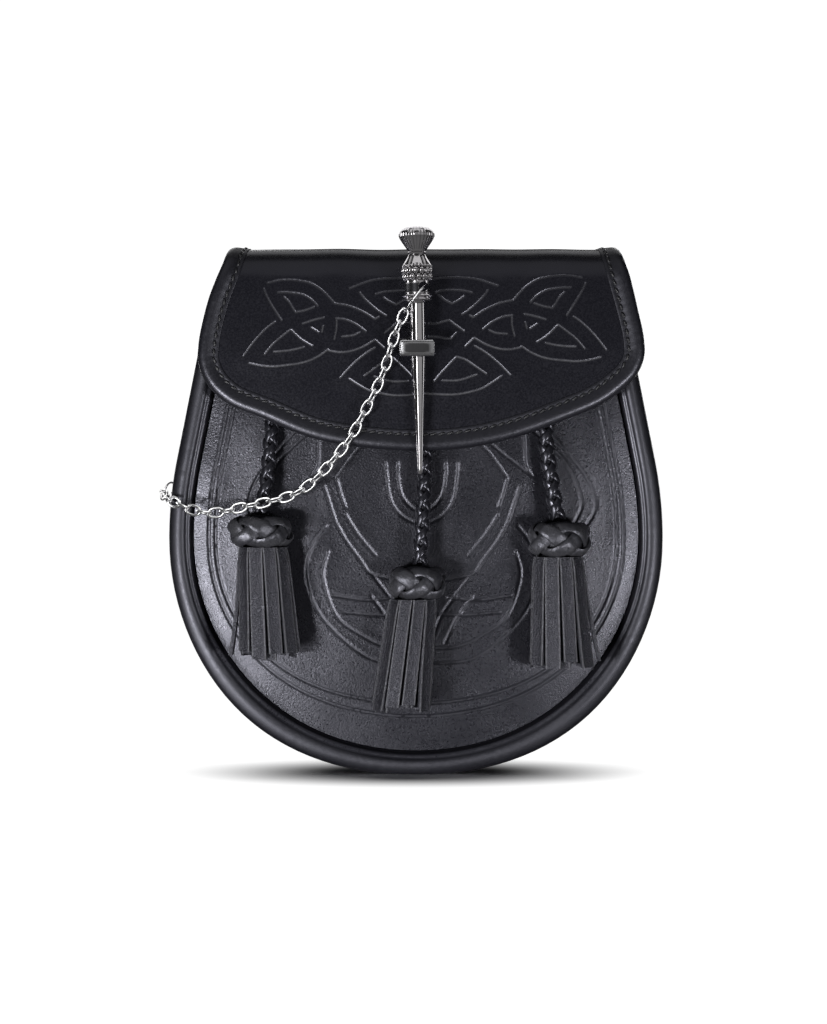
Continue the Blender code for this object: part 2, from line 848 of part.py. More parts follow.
def make_skirt(name, top, bottom, size, flared):
    """Strips fused to a head: a cone whose section has a tooth for each strip, and slits
    between the teeth that start under the head. One strip stands out from the rest."""
    top, bottom = Vector(top), Vector(bottom)
    top_wide, top_deep, bottom_wide, bottom_deep = (length / 2 for length in size)
    rings = []
    for height, share, slit in SKIRT_ROWS:
        wide = (top_wide + (bottom_wide - top_wide) * height) * share
        deep = (top_deep + (bottom_deep - top_deep) * height) * share
        points = []
        for strip in range(SKIRT_STRIPS):
            longer = SKIRT_RAGGED * math.sin(SKIRT_RAGGED_TURN * strip) * (height == 1.0)
            flare = SKIRT_FLARE * height**2 * (strip == flared)
            for across, inner in SKIRT_TOOTH:
                angle = 2 * math.pi * (strip - 0.5 + across) / SKIRT_STRIPS
                inward = inner * slit * SKIRT_SLIT - flare
                centre = top.lerp(bottom, height)
                x = centre.x + (wide - inward) * math.cos(angle)
                y = centre.y + (deep - inward) * math.sin(angle)
                points.append((x, y, centre.z - longer))
        points.append(points[0])
        rings.append(points)
    loft(name, BLACK_LEATHER, rings, capped=True)


def make_tassels():
    for side, tassel in TASSELS.items():
        make_cord(f"tassel_cord_{side}", tassel["cord"], tassel["route"])
        make_knot(f"tassel_knot_{side}", tassel["knot"], tassel["knot_size"])
        make_skirt(
            f"tassel_skirt_{side}",
            tassel["skirt_top"],
            tassel["skirt_bottom"],
            tassel["skirt_size"],
            tassel["flared"],
        )


# ---- The back ----


def make_strap_loops():
    profile = [*LOOP_HALF, *[(y, -z) for y, z in reversed(LOOP_HALF)]]
    for side, x in (("left", -LOOP_X), ("right", LOOP_X)):
        edges = (x - LOOP_WIDTH / 2, x + LOOP_WIDTH / 2)
        rings = [[(edge, y, z) for edge in edges] for y, z in profile]
        strip = loft(f"strap_loop_{side}", BLACK_LEATHER, rings, capped=False)
        thicken(strip, LOOP_THICKNESS)


make_back_panel()
make_gusset()
make_rim_roll()
make_front_panel()
make_flap()
make_flap_binding()
make_closing_pin()
make_staple()
make_rings()
make_side_eye()
make_chain()
make_tassels()
make_strap_loops()
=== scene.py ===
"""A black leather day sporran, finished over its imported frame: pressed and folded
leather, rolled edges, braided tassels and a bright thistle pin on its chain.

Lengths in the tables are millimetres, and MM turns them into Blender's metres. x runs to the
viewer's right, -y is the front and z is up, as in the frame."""

import contextlib
import math

import bmesh
import bpy
import numpy as np
from mathutils import Matrix, Vector, kdtree


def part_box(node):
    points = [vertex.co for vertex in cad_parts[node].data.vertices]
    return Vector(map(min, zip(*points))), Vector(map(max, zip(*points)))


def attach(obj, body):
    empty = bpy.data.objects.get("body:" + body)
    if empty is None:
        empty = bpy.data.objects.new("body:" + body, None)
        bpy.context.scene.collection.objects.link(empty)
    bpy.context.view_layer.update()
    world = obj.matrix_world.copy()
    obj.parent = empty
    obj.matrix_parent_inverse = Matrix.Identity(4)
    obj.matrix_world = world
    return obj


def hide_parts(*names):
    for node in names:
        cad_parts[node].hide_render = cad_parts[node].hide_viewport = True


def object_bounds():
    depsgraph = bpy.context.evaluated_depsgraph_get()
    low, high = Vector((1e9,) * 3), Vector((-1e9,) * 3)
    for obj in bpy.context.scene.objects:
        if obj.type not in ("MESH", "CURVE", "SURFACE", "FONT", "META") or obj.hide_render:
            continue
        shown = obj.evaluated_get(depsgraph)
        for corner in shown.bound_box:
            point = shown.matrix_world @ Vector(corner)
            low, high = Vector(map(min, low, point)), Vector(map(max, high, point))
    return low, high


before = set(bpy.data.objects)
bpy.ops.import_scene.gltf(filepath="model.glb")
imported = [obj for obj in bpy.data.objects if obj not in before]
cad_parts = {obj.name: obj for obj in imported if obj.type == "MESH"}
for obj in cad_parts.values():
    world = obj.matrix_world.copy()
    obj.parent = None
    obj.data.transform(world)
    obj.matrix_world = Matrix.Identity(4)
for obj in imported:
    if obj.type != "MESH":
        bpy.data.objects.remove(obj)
CAD_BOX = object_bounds()

MM = 0.001
PHOTO_SIZE = (827, 1024)
PHOTO_MM = 0.385  # of the object for each pixel of the photograph
PHOTO_ORIGIN = (416.0, 372.68)  # the pixel that shows x = 0, z = 0
CAMERA_PLANE_Y = -42.0  # where a pixel covers PHOTO_MM
CAMERA_LIFT = 1.6  # degrees above the level
CAMERA_LENS = 100
WELD = 1e-6
ROUTE_SAMPLES = 24

# ---- The frame's own sizes, from the part's source ----

BODY_HALF_WIDTH = 94.8
WIDEST_Z = -64.0
UPPER_SIDE_RADIUS = 155.0
SIDE_SLOPE = 0.2
LOWER_SIDE_RADIUS = 90.5
BOTTOM_HALF_ANGLE = math.radians(14)
BODY_TOP_Z = 28.0
BACK_REAR_Y = -3.0
BACK_THICKNESS = 2.5
BACK_TOP_Z = 36.5
BACK_INSET = 0.6
GUSSET_THICKNESS = 1.8
PANEL_THICKNESS = 2.2
PANEL_INSET = 9.0
PANEL_EDGE_Y = -39.8
PANEL_CROWN = 2.9
PANEL_CENTRE_Z = -60.0
PANEL_TOP_Z = 26.0
FLAP_THICKNESS = 2.0
FLAP_OFFSET_X = 2.0
FLAP_TAIL_Y = -0.7
FLAP_TAIL_Z = 22.5
FLAP_FOLDS = ((14.5, 0), (17.28, 90), (19.3, 0), (20.42, 78), (66.8, 9))  # length, turn in degrees
FLAP_CREST = sum(length for length, _ in FLAP_FOLDS[:3])
FLAP_FRONT = sum(length for length, _ in FLAP_FOLDS[3:])
FLAP_SIDE = (  # drop below the crest, half width
    (8.0, 75.5), (14.0, 76.4), (21.5, 79.0), (28.0, 81.4), (34.5, 83.4), (41.0, 84.9), (47.0, 85.5),
)
FLAP_CORNER_RADIUS = 16.0
FLAP_CORNER_DROP = 47.0
FLAP_LOWER_RADIUS = 128.0
FLAP_HALF_WIDTH = 85.5
FLAP_DRAPE = 3.0
FLAP_EDGE_INSET = 1.7
BINDING_START = -12.0
PIN_TOP = (0.15, -54.2, 56.5)
PIN_LEAN = math.radians(0.84)
PIN_TILT = math.radians(2.6)
PIN_HOLE_RADIUS = 1.85
PIN_HOLE = (2.8, 32.2)
STAPLE_X = 0.4
STAPLE_Z = 8.9
STAPLE_BAR = (13.9, 2.4, 6.6)
STAPLE_LEG = (1.6, 4.8)
STAPLE_FOOT = (18.0, 1.0, 8.0)
STAPLE_EDGE = 0.8
SHANK_RADIUS = 2.9
CLEAR = 0.3
PIN_RING_RADIUS = 6.6
PIN_RING_WIRE = 0.85
PIN_RING_SHIFT = 1.0
PIN_RING_DOWN = Vector((-0.6, 0.0, -0.8))
SIDE_EYE = Vector((-93.4, -25.0, -46.6))
SIDE_EYE_RADIUS = 1.9
SIDE_EYE_WIRE = 0.9
SIDE_EYE_BASE_X = -90.8
SIDE_EYE_BASE = (3.0, 1.5)
SIDE_RING_RADIUS = 4.1
SIDE_RING_WIRE = 0.8
SIDE_RING_OUT = Vector((-0.5, -0.866, 0.0))
LINK_LENGTH = 6.6
LINK_WIDTH = 4.4
LINK_WIRE = 0.8
LINK_PLAY = 0.25
LINK_REACH = 1.5
LINK_ROLL = math.radians(20)
CHAIN_ROUTE = (
    (-9.0, -55.4, 11.0), (-11.9, -55.8, 1.0), (-15.8, -56.4, -7.8), (-20.4, -57.2, -16.7),
    (-25.0, -58.0, -25.2), (-31.2, -58.2, -33.2), (-38.1, -57.9, -40.6), (-45.8, -57.2, -46.3),
    (-55.4, -56.4, -49.2), (-65.5, -55.4, -51.3), (-74.3, -53.8, -53.4), (-82.8, -51.4, -53.3),
    (-90.5, -47.6, -50.6), (-94.6, -43.4, -48.9), (-97.2, -38.4, -47.2),
)
# cord is its width. A knot is so wide, deep and high, and a skirt so wide and deep at its top and
# then at its bottom. flared gives how far some of its outer strips stand off. seed keeps the
# three from being alike.
TASSELS = {
    "left": {
        "seed": 4,
        "cord": 5.0,
        "route": (
            (-54.6, -44.4, -10.0), (-55.4, -46.2, -22.1), (-57.4, -49.3, -43.6),
            (-59.3, -51.4, -53.0),
        ),
        "knot": (-59.3, -51.4, -60.8),
        "knot_size": (24.0, 18.0, 13.4),
        "knot_turn": 0.35,
        "skirt_top": (-58.4, -51.2, -67.9),
        "skirt_bottom": (-56.2, -52.2, -107.5),
        "skirt_size": (19.3, 15.0, 23.6, 17.6),
        "flared": {5: 3.6},
    },
    "centre": {
        "seed": 6,
        "cord": 5.0,
        "route": (
            (3.2, -44.9, -21.5), (3.5, -46.6, -32.9), (2.7, -49.8, -51.0), (1.4, -51.8, -72.7),
        ),
        "knot": (0.4, -51.9, -80.4),
        "knot_size": (21.6, 17.6, 14.0),
        "knot_turn": 1.1,
        "skirt_top": (-1.2, -52.0, -87.8),
        "skirt_bottom": (-6.0, -52.6, -127.5),
        "skirt_size": (18.6, 15.0, 22.4, 17.0),
        "flared": {9: 1.0},
    },
    "right": {
        "seed": 5,
        "cord": 5.4,
        "route": (
            (50.9, -44.9, -11.0), (49.8, -46.7, -26.0), (52.0, -49.4, -43.4), (54.0, -51.2, -55.6),
        ),
        "knot": (54.7, -51.4, -63.8),
        "knot_size": (23.6, 18.0, 14.7),
        "knot_turn": 0.0,
        "skirt_top": (54.2, -51.2, -71.6),
        "skirt_bottom": (55.4, -52.2, -111.5),
        "skirt_size": (19.6, 15.0, 24.6, 17.6),
        "flared": {0: 2.6, 9: 1.2},
    },
}
LOOP_X = 45.0
LOOP_WIDTH = 26.0
LOOP_THICKNESS = 2.2
LOOP_HALF = (  # y, height over its middle
    (-1.6, 21.0), (-1.6, 16.4), (-0.4, 14.9), (2.8, 13.6), (4.2, 12.0), (4.5, 6.0),
)

# ---- The drawing that is pressed into the leather, in pixels of the photograph ----

# Right half of the flap's knot: right and down from its middle.
FLAP_KNOT_MIDDLE = (424.3, 336.0)
FLAP_KNOT_TURN = math.radians(1.0)  # its right side stands this much higher
FLAP_KNOT = (
    ((0, -55.5), (10, -56.6), (21.4, -57.9), (36.7, -57.9), (48.4, -56.8), (58.3, -54.3),
     (72.7, -49.4)),
    ((62.8, -44.9), (58.3, -38.6), (51.1, -31.4), (43.9, -25.1), (37.2, -20.6)),
    ((11.5, -42.6), (18.7, -44.9), (30.4, -45.1), (39.4, -44.4), (47.1, -42.6)),
    ((39.4, -39), (34, -35), (27.3, -31.4)),
    ((27.3, -31.4), (20, -35.5), (14, -40.5)),
    ((4.3, -11.6), (12.4, -11.6), (18.7, -13.4), (24.6, -15)),
    ((24.6, -15), (31.3, -9.8), (39.4, -3.9)),
    ((4, 1.5), (15.1, 1.9), (20.5, 3.3), (26.4, 3.7)),
    ((26.4, 3.7), (31.8, -2.6)),
    ((44.8, -19.7), (48.4, -17.7)),
    ((48.4, -17.7), (56.5, -23.3), (65.5, -28.2), (75.4, -32.3), (87.6, -34.8)),
    ((57.9, -5.7), (65.5, -12), (72.7, -16.1), (79.9, -18.8), (87.1, -19.7)),
    ((64.2, -4.8), (70.9, -2.1), (81.7, -1.2)),
    ((86.6, -18), (87, -9), (89.3, 1)),
    ((40.3, 11.4), (49.3, 2.8)),
    ((49.3, 2.8), (58.3, 8.2), (67.3, 11.8), (77.2, 14.1), (86.2, 14.1), (95.2, 12.3)),
    ((49.8, 10.9), (58.3, 15.9), (67.3, 22.6), (76.3, 30.7), (84.9, 39.7)),
    ((76.3, 40.6), (67.3, 46.9), (56.5, 53.2), (43.9, 56.8), (32.2, 58.8), (18.7, 59.1), (0, 58)),
    ((9.7, 46), (18.7, 35.2), (31.8, 21.7)),
    ((31.8, 21.7), (40.3, 24.4), (51.1, 31.6), (61, 38.4)),
    ((17.8, 45.1), (30.4, 45.3), (40.3, 43.3), (51.6, 39.3)),
    ((88.2, -35.2), (92.4, -40.2), (98.2, -46.8), (104.9, -52.2), (112.4, -56.4), (120.7, -58.5),
     (131, -60), (143, -59.8), (154, -57.5)),
    ((104.9, -32.7), (109, -37.7), (114, -41.8), (120.7, -45.2), (129, -46.8), (137.4, -47.7),
     (144, -47.7)),
    ((108.6, -31.8), (117.4, -28.9), (127, -27.2)),
    ((127, -27.2), (129.9, -31.8), (133.2, -37.7), (138, -43)),
    ((141.1, -19.6), (145.9, -27.2), (151, -36), (155.5, -45), (158, -52)),
    ((147.8, -18.5), (154.9, -13.5), (163.2, -6), (171.5, 3.2), (180.3, 14.8)),
    ((133.2, -9.7), (141.5, -3.5), (149.9, 3.2), (159, 13.6)),
    ((132.4, -10.2), (122.4, -0.2), (111.5, 6.9)),
    ((119.9, 7.8), (129, 9.8), (139, 11.1), (149.9, 11.5)),
    ((96.1, 11.1), (104, 16.5), (114, 21.1), (125.7, 24), (138.2, 25.3), (150.7, 26.1),
     (163.2, 24.8), (174.9, 21.9)),
    ((99, -21), (109, -18.9), (120.3, -15.6)),
    ((104.5, -6.4), (112, -11.4)),
    ((99.9, -12.7), (101.5, -6.8)),
)

# Right half of the knot on the front panel: right and down from its middle. What the tassels
# and the flap hide is carried on in the same sweep.
PANEL_KNOT_MIDDLE = (422.0, 560.0)
PANEL_KNOT = (
    ((96, -158), (122.4, -133.2), (146.2, -106), (166.6, -78.8), (173.4, -51.6), (159.8, -27.8)),
    ((104, -136), (131, -111.5), (146, -95), (155.2, -75.2), (160, -55), (152, -36)),
    ((52, -122), (67.7, -106.6), (85.3, -82.4)),
    ((62, -124), (78.3, -108.3), (109.8, -84.2)),
    ((109.8, -84.2), (104, -96), (102.8, -117), (101, -138)),
    ((85.3, -80.7), (81, -66), (76.5, -53)),
    ((97.6, -73.8), (92, -56), (87, -41)),
    ((76.5, -46), (64, -26), (46.7, -5)),
    ((87, -40), (76, -20), (60, 2)),
    ((36, -97), (35.3, -86), (31.3, -60.7), (20.4, -44.5), (0, -34)),
    ((24, -97), (24, -84), (20.5, -66), (12, -54), (0, -47)),
    ((25.9, 37.3), (55.8, 40.1), (89.3, 35.4)),
    ((11, 54.1), (44.6, 55), (78.1, 52.2)),
    ((0, 103.5), (22, 103.3), (51.4, 98.7), (79.8, 79), (102.5, 53.8), (113, 30), (116, 6),
     (108, -18), (96, -34)),
    ((0, 88.5), (34.3, 87), (60.8, 75.3), (85.5, 55.8), (98.7, 16.8), (94, -8)),
    ((51, 36), (35.2, 57.8), (23, 83)),
    ((50, 14), (33, 36), (19.2, 55.8), (9.7, 79)),
    ((60, 2), (50, 14), (20, 20), (0, 21)),
)

# ---- The studio's lamps ----

WORLD_GLOW = (0.03, 1.1)  # what the leather sees of the sky, and what the camera sees
# What each lights, degrees to the right of the camera, degrees up, metres away, size, watts.
LAMPS = {
    "floor_lamp": ("floor", 0, 88, 1.1, (0.5, 0.4), 1.6),
    "left_low": ("leather", -34, -10, 0.6, (0.14, 0.06), 3.9),
    "right_low": ("leather", 36, -10, 0.6, (0.14, 0.06), 2.7),
    "left_bounce": ("leather", -37, -26, 0.8, (0.36, 0.16), 5.2),
    "right_bounce": ("leather", 39, -26, 0.8, (0.30, 0.12), 1.4),
    "crest_light": ("leather", 180, 52, 1.3, (1.0, 0.6), 1.5),
    "soft_front": ("leather", -15, 62, 1.4, (1.6, 1.2), 2.6),
    "back_left": ("leather", 158, 12, 1.3, (0.5, 1.0), 7.0),
    "back_right": ("leather", -162, 12, 1.3, (0.5, 1.0), 5.0),
    "metal_streak": ("metal", -25, 4, 1.2, (0.20, 0.9), 3.4),
    "metal_edge": ("metal", -100, 6, 1.2, (0.3, 0.9), 7.0),
    "metal_side": ("metal", 96, 6, 1.2, (0.5, 0.9), 1.6),
    "metal_card": ("metal", 24, 8, 1.2, (1.5, 1.4), 1.7),
    "metal_sky": ("metal", 0, 84, 1.2, (1.6, 0.8), 2.4),
    "metal_back": ("metal", 180, 42, 1.2, (1.6, 1.2), 7.0),
    "chain_card": ("chain", -6, 12, 1.0, (1.1, 0.8), 3.5),
    "chain_sky": ("chain", 0, 52, 1.0, (1.2, 0.7), 3.8),
}
LAMP_AIM = Vector((0.0, -0.04, -0.06))
LIT = {
    lit: bpy.data.collections.new(f"lit_{lit}") for lit in ("floor", "leather", "metal", "chain")
}
CASTING = bpy.data.collections.new("casts_shadow")
for outer, inner in ((LIT["metal"], "chain"), (CASTING, "leather"), (CASTING, "metal")):
    outer.children.link(LIT[inner])

# ---- Hand tools ----


def alone(piece):
    """Only this piece is selected and active."""
    if bpy.context.object and bpy.context.object.mode != "OBJECT":
        bpy.ops.object.mode_set(mode="OBJECT")
    bpy.ops.object.select_all(action="DESELECT")
    piece.select_set(True)
    bpy.context.view_layer.objects.active = piece


@contextlib.contextmanager
def editing(piece, kind="FACE"):
    """Edit mode with nothing selected; back to object mode at the end."""
    alone(piece)
    bpy.ops.object.mode_set(mode="EDIT")
    bpy.ops.mesh.select_mode(type=kind)
    bpy.ops.mesh.select_all(action="DESELECT")
    yield
    bpy.ops.object.mode_set(mode="OBJECT")


def pick(piece, test):
    """Selects the faces that pass the test, in edit mode."""
    shape = bmesh.from_edit_mesh(piece.data)
    for face in shape.faces:
        if test(face):
            face.select_set(True)
    bmesh.update_edit_mesh(piece.data)


def face_out():
    """All faces point outwards, in edit mode."""
    bpy.ops.mesh.select_all(action="SELECT")
    bpy.ops.mesh.normals_make_consistent(inside=False)


def points_of(piece):
    """The piece's vertices in millimetres."""
    flat = np.empty(len(piece.data.vertices) * 3)
    piece.data.vertices.foreach_get("co", flat)
    return flat.reshape(-1, 3) / MM


def lay(piece, points):
    """Moves the piece's vertices to these points in millimetres."""
    piece.data.vertices.foreach_set("co", (np.asarray(points, float) * MM).ravel())
    piece.data.update()


def modify(piece, kind, **settings):
    """Adds a modifier and applies it."""
    alone(piece)
    made = piece.modifiers.new(kind.title(), kind)
    for name, value in settings.items():
        setattr(made, name, value)
    bpy.ops.object.modifier_apply(modifier=made.name)


def soften(piece, width, angle, segments=2):
    """Rounds the edges that are sharper than the angle in degrees."""
    limit = {"limit_method": "ANGLE", "angle_limit": math.radians(angle)}
    modify(piece, "BEVEL", width=width * MM, segments=segments, **limit)


def thicken(piece, thickness):
    """Gives a sheet its thickness, half to each side."""
    modify(piece, "SOLIDIFY", thickness=thickness * MM, offset=0, use_even_offset=True)
    with editing(piece):
        face_out()


def raise_up(piece, height):
    """Pulls a flat piece up, or down, into a slab."""
    with editing(piece):
        bpy.ops.mesh.select_all(action="SELECT")
        bpy.ops.mesh.extrude_region_move(TRANSFORM_OT_translate={"value": (0, 0, height * MM)})
        face_out()


def cut(piece, tool, operation):
    """Joins a tool piece to this one, or cuts with it, and puts the tool away."""
    modify(piece, "BOOLEAN", operation=operation, solver="EXACT", object=tool)
    bpy.data.objects.remove(tool)


def settle(piece):
    """The piece's place goes into its mesh."""
    alone(piece)
    bpy.ops.object.transform_apply(location=True, rotation=True, scale=True)


def block(centre, size):
    """A block to be shaped, cut with or joined on."""
    bpy.ops.mesh.primitive_cube_add(size=1, location=Vector(centre) * MM)
    made = bpy.context.object
    made.scale = Vector(size) * MM
    settle(made)
    return made


def rod(centre, radius, length, turn, sides):
    """A round rod, turned from upright by these degrees about x, y and z."""
    bpy.ops.mesh.primitive_cylinder_add(
        vertices=sides,
        radius=radius * MM,
        depth=length * MM,
        location=Vector(centre) * MM,
        rotation=[math.radians(angle) for angle in turn],
    )
    made = bpy.context.object
    settle(made)
    return made


def mark(piece, name, values):
    """Writes one number for each vertex, for the materials to read. The higher one stays."""
    values = np.array(values, np.float32)
    layer = piece.data.attributes.get(name)
    if layer:
        before = np.empty_like(values)
        layer.data.foreach_get("value", before)
        values = np.maximum(values, before)
    else:
        layer = piece.data.attributes.new(name, "FLOAT", "POINT")
    layer.data.foreach_set("value", values)


def dress(piece, name, look, slot, nodes, angle=45):
    """Names the finished piece, smooths it, and gives it its finish and its place in the frame."""
    settle(piece)
    piece.name = piece.data.name = name
    bpy.ops.object.shade_smooth_by_angle(angle=math.radians(angle))
    piece.data.materials.clear()
    piece.data.materials.append(look)
    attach(piece, "root")
    lit = "chain" if look is CHAIN_CHROME else "metal" if slot == "chrome" else "leather"
    LIT[lit].objects.link(piece)
    if nodes:
        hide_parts(*nodes)
    return piece


def join(pieces):
    """Joins several pieces into the first."""
    alone(pieces[0])
    for piece in pieces[1:]:
        piece.select_set(True)
    bpy.ops.object.join()
    return pieces[0]


def copies(pattern, places):
    """One mesh that holds the pattern piece once at each placing. The pattern is put away."""
    points = points_of(pattern)
    faces = [tuple(face.vertices) for face in pattern.data.polygons]
    laid, joined = [], []
    for index, place in enumerate(places):
        laid.append(points @ np.array(place.to_3x3()).T + np.array(place.translation))
        joined += [tuple(corner + index * len(points) for corner in face) for face in faces]
    mesh = bpy.data.meshes.new(pattern.name)
    mesh.from_pydata((np.vstack(laid) * MM).tolist(), [], joined)
    made = bpy.data.objects.new(pattern.name, mesh)
    bpy.context.scene.collection.objects.link(made)
    bpy.data.objects.remove(pattern)
    return made


def placing(centre, along, normal):
    """x runs along one direction and z along the other, in millimetres."""
    across = normal.cross(along).normalized()
    turn = Matrix((along.normalized(), across, normal.normalized())).transposed()
    return Matrix.Translation(Vector(centre)) @ turn.to_4x4()


def put_at(piece, place):
    """Moves a piece that was made at the origin to its placing."""
    place = Matrix.LocRotScale(place.translation * MM, place.to_quaternion(), (1, 1, 1))
    piece.matrix_world = place
    settle(piece)


def draped(rings, closed_rings=False, caps=False, rubbed_and_highlit=None):
    """A grid laid along rings of points. With closed_rings each ring meets itself. The last
    argument tells how worn each point of a closed ring is, and where it carries a painted
    highlight."""
    rings = np.asarray(rings, float)
    if closed_rings:
        rings = np.concatenate([rings, rings[:, :1]], axis=1)
    rows, columns = rings.shape[:2]
    bpy.ops.mesh.primitive_grid_add(x_subdivisions=columns - 1, y_subdivisions=rows - 1, size=1)
    made = bpy.context.object
    lay(made, rings.reshape(-1, 3))
    if rubbed_and_highlit is not None:
        mark(made, "rubbed_and_highlit", np.tile([*rubbed_and_highlit, rubbed_and_highlit[0]], rows))
    with editing(made, "VERT"):
        bpy.ops.mesh.select_all(action="SELECT")
        bpy.ops.mesh.remove_doubles(threshold=WELD)
        if caps:
            bpy.ops.mesh.select_all(action="DESELECT")
            bpy.ops.mesh.select_non_manifold()
            bpy.ops.mesh.fill_holes(sides=0)
        face_out()
    return made


# ---- Lines and curves ----


def unit(vectors):
    return vectors / np.linalg.norm(vectors, axis=-1, keepdims=True)


def bell(value, middle, spread):
    """One at the middle, and softly down to nothing on both sides."""
    return np.exp(-(((value - middle) / spread) ** 2))


def ease(share):
    """From nothing to one with a gentle start and end."""
    share = np.clip(share, 0, 1)
    return share * share * (3 - 2 * share)


def waves(run, lengths, seed):
    """A slow uneven wave from -1 to 1 that never quite repeats. lengths are its wavelengths."""
    total = sum(
        np.sin(2 * np.pi * run / length + seed * (2.1 + 1.7 * index))
        for index, length in enumerate(lengths)
    )
    return total / len(lengths)


def so_far(line):
    """How long the line is up to each of its points."""
    return np.concatenate([[0], np.cumsum(np.linalg.norm(np.diff(line, axis=0), axis=1))])


def read_at(at, run, table):
    """The rows of a table that is laid out along run, read at other places."""
    return np.stack([np.interp(at, run, column) for column in np.transpose(table)], axis=-1)


def evenly(curve, step):
    """The same line with its points about step apart."""
    curve = np.asarray(curve, float)
    run = so_far(curve)
    return read_at(np.linspace(0, run[-1], math.ceil(run[-1] / step) + 1), run, curve)


def smooth_route(points, step):
    """Points about step apart on a smooth curve through the given ones."""
    points = np.array(points, float)
    ends = 2 * points[[0, -1]] - points[[1, -2]]
    held = np.vstack([ends[:1], points, ends[1:]])
    t = np.linspace(0, 1, ROUTE_SAMPLES, endpoint=False)[:, None]
    curve = [
        (2 * b + (c - a) * t + (2 * a - 5 * b + 4 * c - d) * t**2 + (3 * b - a - 3 * c + d) * t**3)
        / 2
        for a, b, c, d in zip(held, held[1:], held[2:], held[3:])
    ]
    return evenly(np.vstack([*curve, points[-1:]]), step)


def turns(count):
    """So many angles evenly round a circle."""
    return np.linspace(0, 2 * np.pi, count, endpoint=False)


# ---- Finishes ----


def add(tree, kind, sockets=None, **settings):
    """A shader node with its sockets filled."""
    made = tree.nodes.new("ShaderNode" + kind)
    for name, value in settings.items():
        setattr(made, name, value)
    return fill(tree, made, sockets or {})


def fill(tree, node, sockets):
    """Each socket is given a value, or another node's output to be joined to."""
    for name, value in sockets.items():
        if isinstance(value, bpy.types.NodeSocket):
            tree.links.new(value, node.inputs[name])
        else:
            node.inputs[name].default_value = value
    return node


def maths(tree, operation, *values, clamp=False):
    made = add(tree, "Math", dict(enumerate(values)), operation=operation, use_clamp=clamp)
    return made.outputs[0]


def between(tree, value, low, high, start, end, **settings):
    """Turns the range low to high into start to end."""
    sockets = {"Value": value, "From Min": low, "From Max": high, "To Min": start, "To Max": end}
    return add(tree, "MapRange", sockets, **settings).outputs["Result"]


def noise(tree, place, scale, detail, **sockets):
    sockets.update(Vector=place, Scale=scale, Detail=detail)
    return add(tree, "TexNoise", sockets).outputs["Fac"]


def shade(tree, share, low, high):
    """A colour between two, by a share from 0 to 1."""
    made = add(tree, "ValToRGB", {"Fac": share})
    for stop, colour in zip(made.color_ramp.elements, (low, high)):
        stop.color = (*colour, 1)
    return made.outputs["Color"]


def bump(tree, height, strength, depth):
    sockets = {"Height": height, "Strength": strength, "Distance": depth * MM}
    return add(tree, "Bump", sockets).outputs["Normal"]


def drawn_mark(tree, name):
    """What mark() has written on the piece."""
    return add(tree, "Attribute", attribute_name=name).outputs["Fac"]


def group(name, inputs, outputs):
    """A node group with named sockets: the tree, its inputs and its output node."""
    tree = bpy.data.node_groups.new(name, "ShaderNodeTree")
    tree.interface.new_socket("Place", in_out="INPUT", socket_type="NodeSocketVector")
    for socket, value in inputs.items():
        made = tree.interface.new_socket(socket, in_out="INPUT", socket_type="NodeSocketFloat")
        made.default_value = value
    for socket in outputs:
        tree.interface.new_socket(socket, in_out="OUTPUT", socket_type="NodeSocketFloat")
    return tree, tree.nodes.new("NodeGroupInput").outputs, tree.nodes.new("NodeGroupOutput")


def leather_grain_group():
    """Fine pebbles and pores with longer creases. Sizes are in millimetres."""
    tree, given, out = group("leather grain", {"Pebble": 0.8, "Crease": 0.4}, ("Height", "Pores"))
    place = given["Place"]
    scale = maths(tree, "DIVIDE", 1000.0, given["Pebble"])
    sockets = {"Vector": place, "Scale": scale, "Randomness": 0.9}
    pebbles = add(tree, "TexVoronoi", sockets, feature="DISTANCE_TO_EDGE").outputs["Distance"]
    rounds = noise(tree, place, maths(tree, "MULTIPLY", scale, 0.8), 2.0)
    pores = noise(tree, place, 1500.0, 1.0)
    creases = noise(tree, place, 160.0, 4.0, Roughness=0.65, Distortion=1.2)
    height = between(tree, pebbles, 0.0, 0.5, 0.0, 1.0)
    height = maths(tree, "MULTIPLY_ADD", height, 0.35, rounds)
    height = maths(tree, "MULTIPLY_ADD", pores, 0.3, height)
    height = maths(tree, "MULTIPLY_ADD", creases, given["Crease"], height)
    fill(tree, out, {"Height": height, "Pores": between(tree, pores, 0.3, 0.7, 0.0, 1.0)})
    return tree


def handling_group():
    """Where hands have polished the leather. A patch is so many millimetres across."""
    tree, given, out = group("handling", {"Patch": 30.0}, ("Polish",))
    scale = maths(tree, "DIVIDE", 1000.0, given["Patch"])
    patches = noise(tree, given["Place"], scale, 4.0, Roughness=0.55)
    fill(tree, out, {"Polish": between(tree, patches, 0.35, 0.65, 0.0, 1.0)})
    return tree


GRAIN = leather_grain_group()
HANDLING = handling_group()
# Pale grey that the flap's pressed lines and the strips' edges are painted towards: a painted
# highlight.
PALE_HIGHLIGHT_TONE = (0.085, 0.085, 0.090)
# The panel's pressed lines take this dark tone.
DARK_LINE_TONE = (0.003, 0.003, 0.004)
LEATHER_SHEEN = (0.87, 0.87, 1.0, 1)


def use(tree, shared, **sockets):
    """Places a shared node group in a material."""
    return add(tree, "Group", sockets, node_tree=shared).outputs


def new_finish(name):
    """A material: its tree, its own shader, and each point's place on the object."""
    made = bpy.data.materials.new(name)
    made.use_nodes = True
    tree = made.node_tree
    return made, tree, tree.nodes["Principled BSDF"], add(tree, "TexCoord").outputs["Object"]


